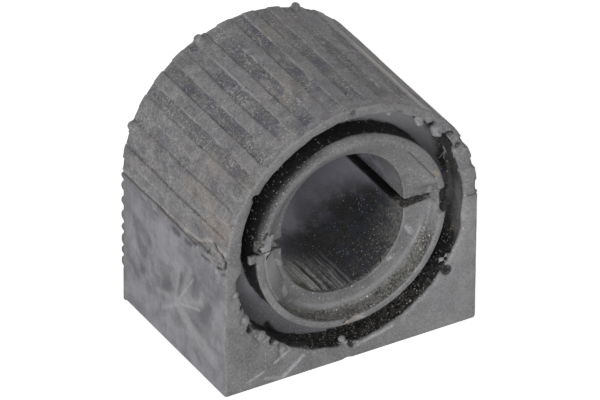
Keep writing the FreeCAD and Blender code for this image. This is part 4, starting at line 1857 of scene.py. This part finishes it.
    @staticmethod
    def _face_values(mesh: bpy.types.Mesh, label: str) -> Array:
        """Average a value stored at the points over each face's corners.

        Args:
            mesh: the block's mesh.
            label: the value's name.

        Returns:
            One mean for each face.
        """
        values = np.empty(len(mesh.vertices), np.float32)
        mesh.attributes[label].data.foreach_get("value", values)
        corners = np.empty(len(mesh.loops), np.int32)
        mesh.loops.foreach_get("vertex_index", corners)
        starts = np.empty(len(mesh.polygons), np.int32)
        mesh.polygons.foreach_get("loop_start", starts)
        counts = np.diff(np.append(starts, len(corners)))
        return np.add.reduceat(values[corners], starts) / counts


@dataclass(frozen=True)
class Studio:
    """The plain setting: a pale floor, soft light and a camera where the photograph was taken."""

    azimuth: float = -30.4639
    elevation: float = 33.3836
    roll: float = 0.4267
    origin_right: float = -0.2541
    origin_drop: float = 17.2144
    distance: float = 1575.43
    focal_pixels: float = 9797.85
    image_width: int = 600
    sensor_width: float = 36.0
    floor_half: float = 3.0
    paper: Colour = paint(208, 208, 208)
    white: Colour = (1, 1, 1, 1)
    paper_glow: float = 0.75
    world_shown: float = 0.85
    world_light: float = 0.15

    def build(self) -> None:
        """Make the camera, the floor, the lamps and the world."""
        self._camera()
        self._floor()
        self._world()
        self._lamp("key", (-0.8, -0.65, 0.3), 0.7, 10.8)
        self._lamp("fill", (-0.51, -0.86, 0.66), 0.6, 2.2)
        self._lamp("top", (0.25, -0.2, 1.0), 0.9, 2.0)
        self._lamp("side", (0.9, -0.45, 0.35), 0.6, 1.2)
        self._lamp("back", (0.05, 1.15, 0.13), 0.25, 7.0)
        bpy.context.scene.view_settings.view_transform = "Standard"

    def _camera(self) -> None:
        """Place the camera by its direction, and by where the base's centre lies from its line of sight."""
        turn, tip, roll = (math.radians(value) for value in (self.azimuth, self.elevation, self.roll))
        back = Vector((math.sin(turn) * math.cos(tip), -math.cos(turn) * math.cos(tip), math.sin(tip)))
        level = back.cross(Vector((0, 0, -1))).normalized()
        upright = back.cross(level)
        right = math.cos(roll) * level + math.sin(roll) * upright
        up = math.cos(roll) * upright - math.sin(roll) * level
        data = bpy.data.cameras.new("camera")
        data.sensor_width = self.sensor_width
        data.lens = self.focal_pixels * self.sensor_width / self.image_width
        data.clip_start, data.clip_end = 0.1, 10.0
        camera = bpy.data.objects.new("camera", data)
        bpy.context.scene.collection.objects.link(camera)
        place = (back * self.distance - right * self.origin_right + up * self.origin_drop) * MM
        camera.matrix_world = Matrix.Translation(place) @ Matrix((right, up, back)).transposed().to_4x4()
        bpy.context.scene.camera = camera

    @staticmethod
    def _shown(graph: Graph) -> Socket:
        """Pick out the rays that look at the background: camera, glossy and transmission rays.

        Args:
            graph: the graph that asks.

        Returns:
            One for those rays and zero for the others.
        """
        path = graph.add("ShaderNodeLightPath").outputs
        either = graph.math("MAXIMUM", path["Is Camera Ray"], path["Is Glossy Ray"])
        return graph.math("MAXIMUM", either, path["Is Transmission Ray"])

    def _floor(self) -> None:
        """A pale floor that looks white and keeps the soft shadow."""
        plate = bmesh.new()
        bmesh.ops.create_grid(plate, x_segments=1, y_segments=1, size=self.floor_half)
        mesh = bpy.data.meshes.new("floor")
        plate.to_mesh(mesh)
        plate.free()
        floor = bpy.data.objects.new("floor", mesh)
        bpy.context.scene.collection.objects.link(floor)
        material = bpy.data.materials.new("floor_paper")
        material.use_nodes = True
        material.node_tree.nodes.clear()
        graph = Graph(material.node_tree)
        paper = graph.add("ShaderNodeBsdfDiffuse", {"Color": self.paper})
        strength = graph.math("MULTIPLY", self._shown(graph), self.paper_glow)
        glow = graph.add("ShaderNodeEmission", {"Color": self.white, "Strength": strength})
        both = graph.add("ShaderNodeAddShader", {0: paper.outputs[0], 1: glow.outputs[0]})
        graph.feed(graph.add("ShaderNodeOutputMaterial").inputs[0], both.outputs[0])
        mesh.materials.append(material)

    def _world(self) -> None:
        """Even light from all round, with a white background."""
        world = bpy.data.worlds.new("room")
        world.use_nodes = True
        world.node_tree.nodes.clear()
        graph = Graph(world.node_tree)
        shown = self._shown(graph)
        strength = graph.math("MULTIPLY_ADD", shown, self.world_shown, self.world_light)
        light = graph.add("ShaderNodeBackground", {"Color": self.white, "Strength": strength})
        graph.feed(graph.add("ShaderNodeOutputWorld").inputs[0], light.outputs[0])
        bpy.context.scene.world = world

    @staticmethod
    def _lamp(name: str, place: Place, size: float, power: float) -> None:
        """A square soft lamp that looks at the block.

        Args:
            name: the lamp's name.
            place: where it stands, in metres.
            size: its side, in metres.
            power: its strength in watts.
        """
        data = bpy.data.lights.new(name, "AREA")
        data.size, data.energy = size, power
        lamp = bpy.data.objects.new(name, data)
        bpy.context.scene.collection.objects.link(lamp)
        lamp.location = place
        lamp.rotation_euler = (Vector(BLOCK_MIDDLE) - Vector(place)).to_track_quat("-Z", "Y").to_euler()


def main() -> None:
    """Build the bushing and its setting."""
    logging.basicConfig(level=logging.INFO)
    form = Form.from_frame()
    Studio().build()
    effects = Effects(form)
    piece = Block(form, effects, LatticeNoise(7)).build()
    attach(piece, "root")
    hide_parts("bushing")
    log.info("%s: %d triangles", piece.name, len(piece.data.polygons))


if __name__ == "__main__":
    main()
